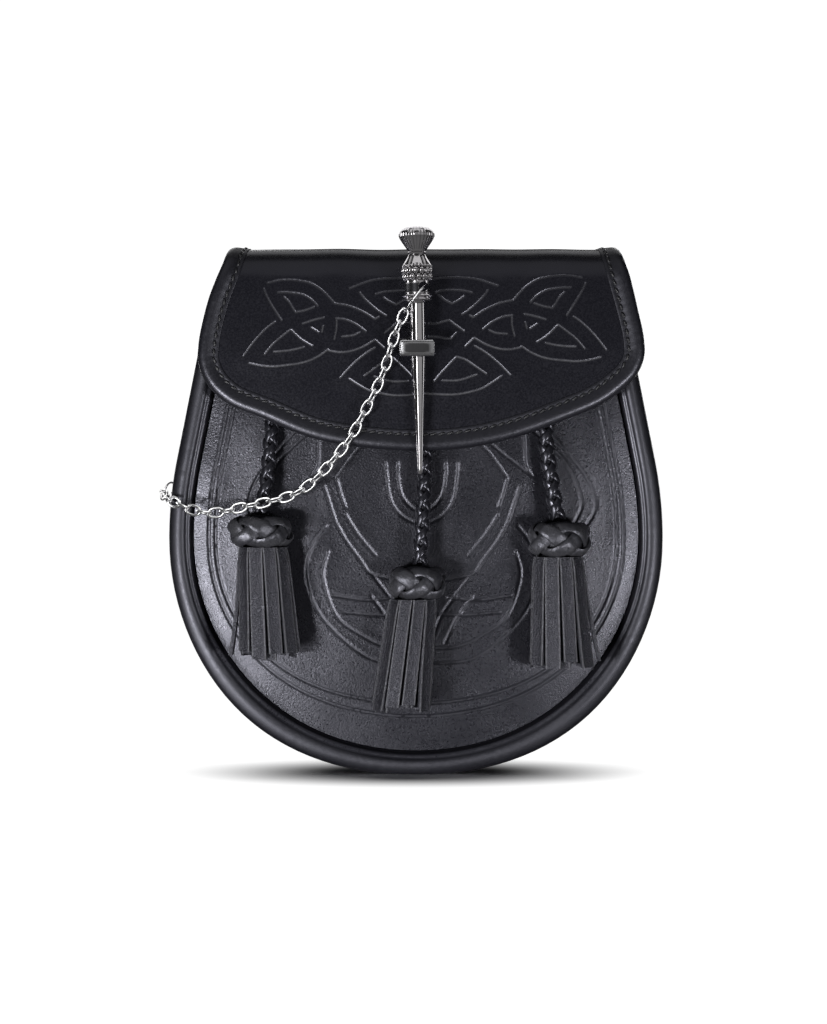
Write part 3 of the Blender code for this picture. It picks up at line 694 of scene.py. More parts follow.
def leather(
    name, dark, light, gloss, pebble, depth, crease=0.4, patch=30.0,
    line_tone=PALE_HIGHLIGHT_TONE, highlight_pale=0.0, shine=0.5,
):
    """Dyed leather. dark and light are its colours, the line tone the colour that its pressed lines
    are painted towards (on the flap a pale painted highlight), and gloss its roughness where it is
    polished and where it is dull. It reads how far each point is pressed in, where it is rubbed
    (the binding's edge) and where it carries a painted highlight (the rim's lip, the strips'
    edges); these come out lighter and glossier, and the highlight paling tells how far they are
    painted towards the line tone."""
    made, tree, skin, place = new_finish(name)
    grain = use(tree, GRAIN, Place=place, Pebble=pebble, Crease=crease)
    polish = use(tree, HANDLING, Place=place, Patch=patch)["Polish"]
    pressed, rubbed_and_highlit = drawn_mark(tree, "pressed"), drawn_mark(tree, "rubbed_and_highlit")
    tint = maths(tree, "MULTIPLY", polish, 0.3)
    tint = maths(tree, "MULTIPLY_ADD", grain["Pores"], 0.2, tint)
    tint = maths(tree, "MULTIPLY_ADD", rubbed_and_highlit, 0.6, tint, clamp=True)
    pale = maths(tree, "MULTIPLY_ADD", rubbed_and_highlit, highlight_pale, pressed, clamp=True)
    sockets = {"Factor": pale, 6: shade(tree, tint, dark, light), 7: (*line_tone, 1)}
    rough = between(tree, polish, 0.0, 1.0, gloss[1], gloss[0])
    rough = maths(tree, "MULTIPLY_ADD", grain["Pores"], 0.1, rough)
    rough = maths(tree, "MULTIPLY_ADD", pressed, 0.1, rough)
    rough = maths(tree, "MULTIPLY_ADD", rubbed_and_highlit, -0.12, rough, clamp=True)
    fill(tree, skin, {
        "Base Color": add(tree, "Mix", sockets, data_type="RGBA").outputs[2],
        "Roughness": rough,
        "Normal": bump(tree, grain["Height"], 0.8, depth),
        "Specular Tint": LEATHER_SHEEN,
        "Specular IOR Level": shine,
    })
    return made


def thread_finish():
    """Waxed black thread: its twist is fine slanting ribs along each stitch."""
    made, tree, skin, place = new_finish("waxed_thread")
    sockets = {"Vector": place, "Scale": 900.0, "Distortion": 2.0, "Detail": 2.0}
    twist = add(tree, "TexWave", sockets, bands_direction="DIAGONAL").outputs["Fac"]
    fill(tree, skin, {
        "Base Color": shade(tree, twist, (0.002, 0.002, 0.003), (0.009, 0.009, 0.011)),
        "Roughness": between(tree, twist, 0.0, 1.0, 0.5, 0.36),
        "Normal": bump(tree, twist, 0.6, 0.12),
        "Specular IOR Level": 0.3,
    })
    return made


def chrome_finish(name, hollow_and_shade_colour, heights, rough, scratch):
    """Plated metal with handling marks. It is darker and duller in its hollows, and on the staple's
    face, where that dark is painted shade.
    """
    made, tree, skin, place = new_finish(name)
    smears = noise(tree, place, 90.0, 5.0, Roughness=0.6)
    stretched = add(tree, "Mapping", {"Vector": place, "Scale": (1.0, 1.0, 0.06)})
    brush = noise(tree, stretched.outputs["Vector"], 2600.0, 2.0)
    hollow = drawn_mark(tree, "pressed")
    spread = between(tree, smears, 0.3, 0.7, *rough)
    fill(tree, skin, {
        "Base Color": shade(tree, hollow, heights, hollow_and_shade_colour),
        "Metallic": 1.0,
        "Roughness": maths(tree, "MULTIPLY_ADD", hollow, 0.32, spread, clamp=True),
        "Normal": bump(tree, brush, scratch, 0.02),
    })
    return made


FLAP_LEATHER = leather(
    "flap_leather", (0.0026, 0.0026, 0.0040), (0.0075, 0.0075, 0.0100), (0.22, 0.26),
    0.9, 0.008, 0.2,
)
PANEL_LEATHER = leather(
    "panel_leather", (0.0018, 0.0018, 0.0029), (0.0072, 0.0072, 0.0092), (0.24, 0.28),
    0.60, 0.11, line_tone=DARK_LINE_TONE,
)
ROLLED_LEATHER = leather(
    "rolled_leather", (0.0010, 0.0010, 0.0018), (0.0056, 0.0056, 0.0074), (0.37, 0.44),
    0.5, 0.04, 0.4, 22.0,
)
LACE_LEATHER = leather(
    "lace_leather", (0.0026, 0.0026, 0.0038), (0.0110, 0.0110, 0.0135), (0.21, 0.30),
    0.5, 0.03, 0.4, 12.0,
)
# The knots' lace is the cords' leather coloured several times lighter, so that the knots read
# brighter: a painted highlight.
KNOT_LEATHER = leather(
    "knot_leather", (0.0060, 0.0060, 0.0076), (0.0420, 0.0420, 0.0460), (0.23, 0.36),
    0.5, 0.10, 1.0, 6.0,
)
# The strips' marked edges are also painted paler, towards the pale grey: a painted highlight.
STRIP_LEATHER = leather(
    "strip_leather", (0.0010, 0.0010, 0.0018), (0.0110, 0.0110, 0.0136), (0.36, 0.48),
    0.55, 0.42, 0.9, 7.0, highlight_pale=0.35, shine=0.4,
)
BACK_LEATHER = leather(
    "back_leather", (0.0045, 0.0045, 0.0060), (0.0150, 0.0150, 0.0175), (0.40, 0.50),
    0.8, 0.14, 0.5, 40.0,
)
THREAD = thread_finish()
CHROME = chrome_finish("chrome", (0.05, 0.05, 0.055), (0.74, 0.72, 0.74), (0.05, 0.13), 0.08)
CHAIN_CHROME = chrome_finish(
    "chain_chrome", (0.45, 0.45, 0.46), (0.94, 0.94, 0.95), (0.15, 0.24), 0.08
)
# The staple's dark tone is painted onto the middle of its face as shade.
STAPLE_CHROME = chrome_finish(
    "staple_chrome", (0.10, 0.10, 0.105), (0.60, 0.60, 0.62), (0.16, 0.30), 0.6
)

# ---- The body's outline ----


def arc(centre, radius, angles):
    """Points round a centre, each with its angle."""
    x, z = centre[0] + radius * np.cos(angles), centre[1] + radius * np.sin(angles)
    return np.stack([x, z, angles], axis=1)


def outline(inset, top, steps=24):
    """The whole horseshoe, from the top right round the bottom to the top left: x, z and the way
    the edge faces, as an angle."""
    side = math.atan(SIDE_SLOPE)
    turn = BOTTOM_HALF_ANGLE - math.pi / 2
    upper = (BODY_HALF_WIDTH - UPPER_SIDE_RADIUS, WIDEST_Z)
    lower = (BODY_HALF_WIDTH - LOWER_SIDE_RADIUS, WIDEST_Z)
    reach = lower[0] / math.cos(turn)
    bottom = (0.0, lower[1] - reach * math.sin(turn))
    first = arc(upper, UPPER_SIDE_RADIUS - inset, np.linspace(side, 0, steps + 1))
    x, z, _ = first[0]
    rise = (top - z) * np.linspace(1, 0, steps + 1)[:-1]
    right = np.vstack([
        np.stack([x - SIDE_SLOPE * rise, z + rise, np.full(steps, side)], axis=1),
        first,
        arc(lower, LOWER_SIDE_RADIUS - inset, np.linspace(0, turn, steps + 1)[1:]),
        arc(
            bottom,
            LOWER_SIDE_RADIUS + reach - inset,
            np.linspace(turn, -math.pi / 2, steps + 1)[1:],
        ),
    ])
    return np.vstack([right, right[-2::-1] * (-1, 1, -1) - (0, 0, math.pi)])


def body_stations(step):
    """Even steps round the body, as columns: x, z, the outward angle, and the length so far."""
    line = outline(0, BODY_TOP_Z)
    run = so_far(line[:, :2])
    at = np.linspace(0, run[-1], round(run[-1] / step) + 1)
    return (*read_at(at, run, line).T[:, :, None], at[:, None])


def round_body(x, z, angle, inset, y):
    """Rings round the body, so far in from its edge and at this y."""
    rings = (x - inset * np.cos(angle), y, z - inset * np.sin(angle))
    return np.stack(np.broadcast_arrays(*rings), axis=-1)


# ---- Pressed lines ----

NEAR_FACE = 0.01  # of the face, so that the sheet's rear is left alone
SWELL_FROM, SWELL_TO = 4.5, 1.5  # from a line, where the leather starts and ends its rise
LIP_AT = 2.2  # widths from a line's middle
LIP_HIGH = 0.12  # of its depth


def to_front(points):
    """Pixels of the photograph as x and z in millimetres."""
    return (np.asarray(points, float) - PHOTO_ORIGIN) * (PHOTO_MM, -PHOTO_MM)


def both_halves(lines, middle, turn):
    """Lines drawn for the right half, with their mirror image across a leaning axis."""
    lean = np.array([[math.cos(turn), -math.sin(turn)], [math.sin(turn), math.cos(turn)]])
    flip = lean.T @ np.diag([-1, 1]) @ lean
    drawn = [np.array(line, float) for line in lines]
    return [line + middle for line in drawn] + [line @ flip.T + middle for line in drawn]


def line_tree(lines):
    """A search tree over lines of flat points."""
    points = np.vstack([evenly(line, 0.25) for line in lines])
    tree = kdtree.KDTree(len(points))
    for index, (x, y) in enumerate(points):
        tree.insert((x, y, 0), index)
    tree.balance()
    return tree


def plate(edge, cell, thickness):
    """A flat sheet of leather, cut out along a closed line. Its face lies at z = 0."""
    low, high = edge.min(axis=0) - cell, edge.max(axis=0) + cell
    middle, size = (low + high) / 2, high - low
    across, up = np.round(size / cell).astype(int).tolist()
    bpy.ops.mesh.primitive_grid_add(
        x_subdivisions=across, y_subdivisions=up, size=1, location=(*(middle * MM), 0)
    )
    sheet = bpy.context.object
    sheet.scale = (*(size * MM), 1)
    settle(sheet)
    raise_up(sheet, -thickness)
    bpy.ops.mesh.primitive_circle_add(vertices=len(edge), fill_type="NGON")
    knife = bpy.context.object
    lay(knife, np.column_stack([edge, np.full(len(edge), -2 * thickness)]))
    raise_up(knife, 4 * thickness)
    cut(sheet, knife, "INTERSECT")
    return sheet


def refine(sheet, tree, passes):
    """Cuts the face of the sheet finer where a drawn line passes. Each pass gives how near the
    line a face has to be, and its cuts."""
    for reach, cuts in passes:

        def near(face):
            if face.normal.z < 0.9 or len(face.verts) != 4:
                return False
            x, y, _ = face.calc_center_median() / MM
            return tree.find((x, y, 0))[2] < reach

        with editing(sheet):
            pick(sheet, near)
            bpy.ops.mesh.subdivide(number_cuts=cuts, ngon=False)


def press(sheet, tree, depth, width, swell, line_tone_share=1.0):
    """Presses the drawn lines into the face, and lets the leather swell between them. The line tone
    share tells how far the lines are painted towards the leather's line tone: on the flap a painted
    highlight."""
    points = points_of(sheet)
    face = points[:, 2] > -NEAR_FACE
    away = np.full(len(points), 99.0)
    away[face] = [tree.find((x, y, 0))[2] for x, y, _ in points[face]]
    groove = bell(away, 0, width)
    lift = swell * ease((SWELL_FROM - away) / (SWELL_FROM - SWELL_TO))
    lift += LIP_HIGH * depth * bell(away, LIP_AT * width, width) - depth * groove
    points[:, 2] += np.where(face, lift, 0)
    lay(sheet, points)
    mark(sheet, "pressed", groove * line_tone_share)


# ---- The flap ----


def flap_profile(run):
    """y, z and heading of the flap's outer face, at a run of leather from the tail's end."""
    y, z, heading = FLAP_TAIL_Y, FLAP_TAIL_Z, 0.0
    for length, turn in FLAP_FOLDS:
        part = min(run, length)
        if turn:
            radius = length / math.radians(turn)
            end = heading + part / radius
            y += radius * (math.cos(end) - math.cos(heading))
            z += radius * (math.sin(end) - math.sin(heading))
            heading = end
        else:
            y -= part * math.sin(heading)
            z += part * math.cos(heading)
        run -= part
        if run <= 0:
            return y, z, heading
    return y - run * math.sin(heading), z + run * math.cos(heading), heading


FLAP_RUNS = np.arange(-1.0, 142.0, 0.25)
FLAP_PROFILE = np.array([flap_profile(run) for run in FLAP_RUNS])
FLAP_SHOULDER = (2.8, 13, 13)  # how much fuller at the right: most, drop below the crest, spread
FLAP_TUCK = (2.3, -1, 7)  # how much drawn in at the left where it folds over the top
FLAP_HANG = ((5.0, -76, 13), (2.2, -47, 22), (2.3, 72, 14))  # lower edge: drop, x, spread
FLAP_HANG_FROM, FLAP_HANG_OVER = 24, 24  # below the crest, where the leather starts to hang
FLAP_CELL = 1.7
FLAP_SLOT = (12.9, 5.4, 10.0)
FLAP_FINER = ((2.4, 1), (1.15, 2))  # how near a line, and how many cuts
FLAP_PRESSING = {"depth": 0.30, "width": 0.25, "swell": 0.12}
FLAP_LINE_HIGHLIGHT = (0.12, 0.55)  # painted highlight in the lines at the top, and how much more is painted below
FLAP_HIGHLIGHT_FROM, FLAP_HIGHLIGHT_OVER = 12, 42  # below the crest


def on_flap(x, run, out):
    """Points out from the flap's outer face, or inside it where out is negative."""
    y, z, heading = (np.interp(run, FLAP_RUNS, column) for column in FLAP_PROFILE.T)
    drop = run - FLAP_CREST
    for (most, at, spread), side in ((FLAP_SHOULDER, 1), (FLAP_TUCK, -1)):
        share = np.clip(side * x / FLAP_HALF_WIDTH, 0, 1) ** 2
        x = x + most * bell(drop, at, spread) * share
    sag = FLAP_DRAPE * np.clip(drop / FLAP_FRONT, 0, None) * (x / FLAP_HALF_WIDTH) ** 2
    y = y + out * np.cos(heading) + sag
    return np.stack([FLAP_OFFSET_X + x, y, z + out * np.sin(heading)], axis=-1)


def flap_run_at(z):
    """The run on the flap's front that lies at a height."""
    front = FLAP_RUNS >= FLAP_CREST
    return np.interp(-z, -FLAP_PROFILE[front, 1], FLAP_RUNS[front])


def flap_edge(step):
    """The right edge of the finished flap in its flat pattern, from the tail to the middle of
    the bottom: half width and run."""
    drops, widths = np.transpose(FLAP_SIDE)
    inner = FLAP_LOWER_RADIUS - FLAP_CORNER_RADIUS
    corner = np.array([FLAP_HALF_WIDTH - FLAP_CORNER_RADIUS, FLAP_CREST + FLAP_CORNER_DROP])
    angle = math.asin(corner[0] / inner)
    lower = np.array([0.0, corner[1] - inner * math.cos(angle)])
    edge = [[(widths[0], 0.0)], smooth_route(np.stack([widths, FLAP_CREST + drops], axis=1), 1.0)]
    for centre, radius, angles in (
        (corner, FLAP_CORNER_RADIUS, np.linspace(math.pi / 2, angle, 24)),
        (lower, FLAP_LOWER_RADIUS, np.linspace(angle, 0, 60)),
    ):
        edge.append(centre + radius * np.stack([np.sin(angles), np.cos(angles)], axis=1)[1:])
    return evenly(np.vstack(edge), step)


def whole_edge(step, start=None):
    """The finished edge from the left end of the tail round the bottom to the right end, or only
    what lies past start from the crest: points and outward directions in the flat pattern."""
    right = flap_edge(step)
    line = np.vstack([right * (-1, 1), right[-2::-1]])
    low = ease((line[:, 1] - FLAP_CREST - FLAP_HANG_FROM) / FLAP_HANG_OVER)
    line[:, 1] += low * sum(drop * bell(line[:, 0], x, spread) for drop, x, spread in FLAP_HANG)
    line = evenly(line, step)
    ahead = unit(np.gradient(line, axis=0))
    out = np.stack([-ahead[:, 1], ahead[:, 0]], axis=1)
    keep = slice(None) if start is None else line[:, 1] > FLAP_CREST + start
    return line[keep], out[keep]


def make_flap():
    """Cut flat, slotted for the staple, pressed with the knot, then folded."""
    edge, out = whole_edge(1.5)
    flap = plate((edge - FLAP_EDGE_INSET * out) * (1, -1), FLAP_CELL, FLAP_THICKNESS)
    slot = block((STAPLE_X - FLAP_OFFSET_X, -flap_run_at(STAPLE_Z), 0), FLAP_SLOT)
    cut(flap, slot, "DIFFERENCE")
    lines = []
    for line in both_halves(FLAP_KNOT, FLAP_KNOT_MIDDLE, FLAP_KNOT_TURN):
        x, z = smooth_route(to_front(line), 0.5).T
        lines.append(np.stack([x - FLAP_OFFSET_X, -flap_run_at(z)], axis=1))
    tree = line_tree(lines)
    refine(flap, tree, FLAP_FINER)
    x, y, _ = points_of(flap).T
    # The lines are painted paler towards the bottom of the flap: a painted highlight.
    low = np.clip((-y - FLAP_CREST - FLAP_HIGHLIGHT_FROM) / FLAP_HIGHLIGHT_OVER, 0, 1)
    patchy = 0.8 + 0.2 * waves(x + 0.7 * y, (13, 7.7, 29), 0.9)
    line_tone_share = (FLAP_LINE_HIGHLIGHT[0] + FLAP_LINE_HIGHLIGHT[1] * low) * patchy
    press(flap, tree, **FLAP_PRESSING, line_tone_share=line_tone_share)
    x, y, out = points_of(flap).T
    ripple = 0.25 * waves(x, (61, 43, 27), 1.0) * waves(y, (53, 37), 2.0)
    lay(flap, on_flap(x, -y, out + ripple))
    return dress(flap, "flap_folded", FLAP_LEATHER, "black_leather", ["flap"], 62)


STITCH_PITCH = 3.3
STITCH_INWARD = 6.2
BINDING_STITCH = (2.9, 1.05, 0.55)  # length, width, height
BACK_STITCH = (2.3, 0.62, 0.36)
BINDING_PROFILE = (  # inward from the finished edge, outward from the flap's outer face
    (8.0, 0.03), (8.02, 0.2), (7.85, 0.36), (7.2, 0.5), (6.7, 0.47), (6.2, 0.4), (5.7, 0.58),
    (4.9, 0.98), (3.9, 1.36), (2.8, 1.58), (1.8, 1.5), (0.95, 1.12), (0.35, 0.45), (0.0, -0.5),
    (-0.05, -1.4), (0.2, -2.2), (0.75, -2.85), (1.6, -3.2), (3.2, -3.25), (5.2, -3.2), (6.4, -3.1),
    (6.6, -2.7), (6.4, -2.1), (1.2, -2.1), (1.1, -1.0), (1.2, 0.02),
)
BINDING_SOFT = (2.8, 2.2)  # where on its profile it puffs up, and how wide that is
BINDING_EDGE = (1.0, 1.6)  # where it is rubbed pale
STITCH_DIP = (0.14, 1.1)  # how deep and how wide a stitch draws it in
BINDING_THINNED = 0.55  # of its height, where it goes over the top
OVER_TOP = 9  # from the crest


def make_binding():
    """A soft strip wrapped round the flap's edge, drawn in a little at every stitch and pressed
    thinner where it goes over the top."""
    edge, out = whole_edge(0.82, BINDING_START)
    run = so_far(edge)[:, None]
    inward, outward = np.transpose(BINDING_PROFILE)
    pull = 0.5 - 0.5 * np.cos(2 * np.pi * run / STITCH_PITCH)
    puff = 0.10 * waves(run, (37, 53, 23), 0.7) + 0.045 * waves(run, (3.1, 2.1, 4.3), 2.0)
    thin = 1 - BINDING_THINNED * bell(edge[:, 1:], FLAP_CREST, OVER_TOP)
    deep, wide = STITCH_DIP
    soft = puff * bell(inward, *BINDING_SOFT) - deep * pull * bell(inward, STITCH_INWARD, wide)
    padded = (outward > 0.2) & (inward < 7.9)
    rise = np.where(padded, (outward + soft) * thin, outward)
    inset = inward - 0.4 * puff * (inward < 1.5)
    x, along = edge.T[:, :, None] - out.T[:, :, None] * inset
    rubbed_and_highlit = bell(inward, *BINDING_EDGE)
    binding = draped(on_flap(x, along, rise), closed_rings=True, caps=True, rubbed_and_highlit=rubbed_and_highlit)
    return dress(binding, "flap_edge_binding", ROLLED_LEATHER, "soft_leather", ["flap_binding"], 60)


def stitch_pattern(length, width, height):
    """One stitch: a short strand that dives into the leather at both ends."""
    bpy.ops.mesh.primitive_uv_sphere_add(segments=10, ring_count=8, radius=1)
    stitch = bpy.context.object
    across, up, along = (points_of(stitch) * MM).T
    fuller = np.sqrt(np.clip(1 - along**4, 0, 1) / np.clip(1 - along**2, WELD, 1))
    fuller = np.clip(fuller, 0, 1.6)
    dive = 0.45 * height * np.abs(along) ** 3
    across, up = across * width / 2 * fuller, -up * height * fuller - dive
    lay(stitch, np.stack([along * length / 2, across, up], axis=1))
    return stitch


def stitch_row(line, normals, pitch, size=BACK_STITCH, slant=0.16):
    """Stitches laid along a line that lies on the leather."""
    run = so_far(line)
    at = np.arange(pitch / 2, run[-1], pitch)
    ahead = unit(np.gradient(line, axis=0))
    centres, ups, ahead = (read_at(at, run, table) for table in (line, normals, ahead))
    places = []
    for index, (centre, up, along) in enumerate(zip(centres, unit(ups), ahead)):
        up, along = Vector(up), Vector(along)
        along = (along - up * along.dot(up)).normalized()
        along.rotate(Matrix.Rotation(slant + 0.05 * math.sin(2.4 * index), 3, up))
        places.append(placing(centre, along, up))
    return copies(stitch_pattern(*size), places)


def binding_stitches():
    edge, out = whole_edge(0.5, BINDING_START + 1.5)
    x, along = (edge - STITCH_INWARD * out).T
    height = 0.5 - 0.26 * bell(along, FLAP_CREST, OVER_TOP)
    base = on_flap(x, along, height)
    normals = unit(on_flap(x, along, height + 1) - base)
    row = stitch_row(base, normals, STITCH_PITCH, BINDING_STITCH, 0.24)
    return dress(row, "binding_stitches", THREAD, "soft_leather", [], 180)


# ---- The pouch ----

PANEL_CELL = 2.0
PANEL_FALL = 4.2  # how far the face turns back by the time it goes under the rim
PANEL_SHOULDER = 3.6  # how late and how hard it turns
PANEL_BORDERS = ((14.8, 22.4), (17.4, 27.4))  # inset at the sides and at the bottom
PANEL_BORDER_TOP_Z = 20.0
PANEL_BORDER_FINER = ((2.8, 1), (1.5, 1))
PANEL_BORDER_PRESSING = {"depth": 0.42, "width": 0.42, "swell": 0.12}
PANEL_KNOT_FINER = ((2.2, 1), (1.2, 1))
PANEL_KNOT_PRESSING = {"depth": 0.36, "width": 0.38, "swell": 0.1}


def panel_face_y(x, z):
    """How far forward the front panel's face lies."""
    half = BODY_HALF_WIDTH - PANEL_INSET
    dz = z - PANEL_CENTRE_Z
    rise = np.where(dz > 0, dz / (PANEL_TOP_Z - PANEL_CENTRE_Z), -dz / half)
    power = np.where(dz > 0, 3.0, 2.0)
    share = np.clip(((np.abs(x) / half) ** power + rise**power) ** (1 / power), 0, 1)
    return PANEL_EDGE_Y - PANEL_CROWN + PANEL_FALL * share**PANEL_SHOULDER


def panel_border(side, bottom):
    x, z, angle = outline(0, PANEL_BORDER_TOP_Z, 30).T
    inset = side + (bottom - side) * np.clip(-np.sin(angle), 0, 1) ** 2.6
    return np.stack([x - inset * np.cos(angle), z - inset * np.sin(angle)], axis=1)


def make_front_panel():
    panel = plate(outline(PANEL_INSET, PANEL_TOP_Z)[:, :2], PANEL_CELL, PANEL_THICKNESS)
    borders = [panel_border(*insets) for insets in PANEL_BORDERS]
    drawn = both_halves(PANEL_KNOT, PANEL_KNOT_MIDDLE, 0.0)
    knot = [smooth_route(to_front(line), 0.5) for line in drawn]
    for lines, finer, pressing in (
        (borders, PANEL_BORDER_FINER, PANEL_BORDER_PRESSING),
        (knot, PANEL_KNOT_FINER, PANEL_KNOT_PRESSING),
    ):
        tree = line_tree(lines)
        refine(panel, tree, finer)
        press(panel, tree, **pressing)
    x, z, out = points_of(panel).T
    ripple = 0.3 * waves(x, (67, 41, 29), 3.0) * waves(z, (59, 37), 1.4)
    lay(panel, np.stack([x, panel_face_y(x, z) - out - ripple, z], axis=1))
    return dress(panel, "front_panel_pressed", PANEL_LEATHER, "black_leather", ["front_panel"], 62)


RIM_PROFILE = (  # inset, y
    (0.0, -35.1), (-0.5, -37.0), (-0.45, -38.9), (0.3, -40.7), (1.6, -41.8), (3.2, -42.4),
    (4.9, -42.25), (5.8, -41.55), (6.15, -41.0), (6.5, -41.05), (7.0, -41.05), (7.5, -40.8),
    (7.8, -40.0), (7.95, -38.6), (8.35, -37.9), (8.75, -37.4), (8.6, -36.2), (7.4, -35.2),
    (5.6, -34.15), (2.4, -34.0), (0.0, -35.1),
)
RIM_CREST = (3.1, 2.6)  # inset, and how wide the roll is round it
RIM_FRONT_Y = -35  # the padding gives only in front of this
RIM_LIP = (5.8, 7.6, -40)  # insets and rear of the narrow lip, which carries a painted highlight
RIM_FULL = 1.5  # how far the roll swells out at the lower corners
RIM_FULL_ANGLE = math.radians(-50)
RIM_FULL_SPREAD = math.radians(26)


def make_rim():
    """The padded roll round the front, with creases across it where it has been bent."""
    inset, y = smooth_route(RIM_PROFILE, 0.6)[:-1].T
    x, z, angle, run = body_stations(1.1)
    crease = 0.13 * waves(run, (2.9, 4.3, 6.7), 1.0) * np.maximum(0, waves(run, (41, 67), 0.3))
    soft = 0.2 * waves(run, (88, 53, 121), 2.2) + crease
    lean = np.minimum(abs(angle - RIM_FULL_ANGLE), abs(-math.pi - angle - RIM_FULL_ANGLE))
    inward = inset - RIM_FULL * bell(lean, 0, RIM_FULL_SPREAD) * np.maximum(0, 1 - inset / 7)
    bulge = np.where(y < RIM_FRONT_Y, bell(inset, *RIM_CREST), 0)
    rings = round_body(x, z, angle, inward, y - soft * bulge)
    rings[..., 2] = np.maximum(rings[..., 2], CAD_BOX[0].z / MM)
    # The lip is marked to come out lighter and glossier: a painted highlight.
    lip = (inset > RIM_LIP[0]) & (inset < RIM_LIP[1]) & (y < RIM_LIP[2])
    rim = draped(rings, closed_rings=True, caps=True, rubbed_and_highlit=lip.astype(float))
    return dress(rim, "rolled_rim", ROLLED_LEATHER, "soft_leather", ["rim_roll"], 60)


GUSSET_PROFILE = (  # inset, y
    (1.5, -5.7), (2.0, -8.0), (4.0, -12.5), (5.6, -17.0), (6.0, -21.0), (5.0, -26.0),
    (3.4, -30.5), (2.9, -33.85),
)


def make_gusset():
    """The soft side wall, folded in along its middle and gathered a little round the curve."""
    inset, y = smooth_route(GUSSET_PROFILE, 1.2).T
    x, z, angle, run = body_stations(2.2)
    middle = np.sin(np.pi * (y - y[0]) / (y[-1] - y[0]))
    pucker = 0.55 * waves(run + 0.4 * y, (9.1, 14.3, 6.7), 0.4)
    sag = 0.5 * waves(run, (57, 83), 1.9)
    wall = draped(round_body(x, z, angle, inset + middle * (pucker + sag), y))
    thicken(wall, GUSSET_THICKNESS)
    return dress(wall, "side_gusset", ROLLED_LEATHER, "soft_leather", ["gusset"], 60)


def make_back():
    back = plate(outline(BACK_INSET, BACK_TOP_Z)[:, :2], 6.0, BACK_THICKNESS)
    x, z, out = points_of(back).T
    lay(back, np.stack([-x, BACK_REAR_Y + out, z], axis=1))
    soften(back, 0.5, 60)
    return dress(back, "back_leather_panel", BACK_LEATHER, "black_leather", ["back_panel"], 50)


# ---- Cords, knots and skirts ----

LACE_SECTION = (  # across and up, shares of the half width and the half thickness
    (-1.0, 0.0), (-0.82, 0.72), (-0.42, 0.96), (0.0, 1.05), (0.42, 0.96), (0.82, 0.72),
    (1.0, 0.0), (0.7, -0.8), (0.0, -0.9), (-0.7, -0.8),
)
BRAID_CORD = 5.0  # the width that these three are for
BRAID_LACE = (1.5, 0.6)  # half width, half thickness
BRAID_RADII = (1.95, 0.4, 1.3)  # a lace's mean distance, how far it moves in and out, the core's
BRAID_PITCH = 13.8
BRAID_STEP = 0.75


def lace(centres, ups, half_width, half_thick, closed):
    """A flat leather lace along a line. ups point away from what it lies on."""
    if closed:
        ahead = unit(np.roll(centres, -1, axis=0) - np.roll(centres, 1, axis=0))
    else:
        ahead = unit(np.gradient(centres, axis=0))
    ups = unit(ups - ahead * np.sum(ups * ahead, axis=1, keepdims=True))
    wide = (np.cross(ups, ahead).T * half_width).T
    thick = (ups.T * half_thick).T
    rings = np.stack([centres + wide * side + thick * rise for side, rise in LACE_SECTION], axis=1)
    if closed:
        rings = np.concatenate([rings, rings[:1]])
    return draped(rings, closed_rings=True, caps=not closed)


def frames_along(line):
    """Two directions square to the line that turn with it as little as they can."""
    ahead = unit(np.gradient(line, axis=0))
    side = np.array([1.0, 0.0, 0.0])
    sides = []
    for direction in ahead:
        side = unit(side - direction * np.dot(side, direction))
        sides.append(side)
    return np.array(sides), np.cross(ahead, sides)


def make_cord(tassel):
    """Four laces braided round: two wind one way and two the other, over and under in turn."""
    line = smooth_route(tassel["route"], BRAID_STEP)
    right, front = frames_along(line)
    turn = 2 * np.pi * so_far(line)[:, None] / BRAID_PITCH
    scale = tassel["cord"] / BRAID_CORD
    mean, swing, core = (radius * scale for radius in BRAID_RADII)
    half_width, half_thick = (half * scale for half in BRAID_LACE)
    strands = []
    for way in (1, -1):
        for start in (-np.pi / 2, np.pi / 2):
            up = np.cos(way * turn + start) * right + np.sin(way * turn + start) * front
            place = line + up * (mean + way * swing * np.cos(2 * turn))
            strands.append(lace(place, up, half_width, half_thick, False))
    rounds = turns(8)[:, None]
    rings = np.cos(rounds) * right[:, None] + np.sin(rounds) * front[:, None]
    strands.append(draped(line[:, None] + core * rings, closed_rings=True, caps=True))
    return join(strands)


KNOT_LEADS = 3
KNOT_BIGHTS = 5
KNOT_SAMPLES = 300
KNOT_WEAVE = 0.85  # how far the lace moves in and out where it crosses itself
KNOT_LACE = (3.0, 0.9)  # half width, half thickness
KNOT_INSET = (1.5, 2.4)  # how far inside the knot's size the lace's middle runs, out and up
KNOT_BARREL = 0.42  # how much it narrows to its ends
KNOT_CORE_GAPS = (1.9, 1.9, 0.6)  # the core is this much smaller than the knot, each way


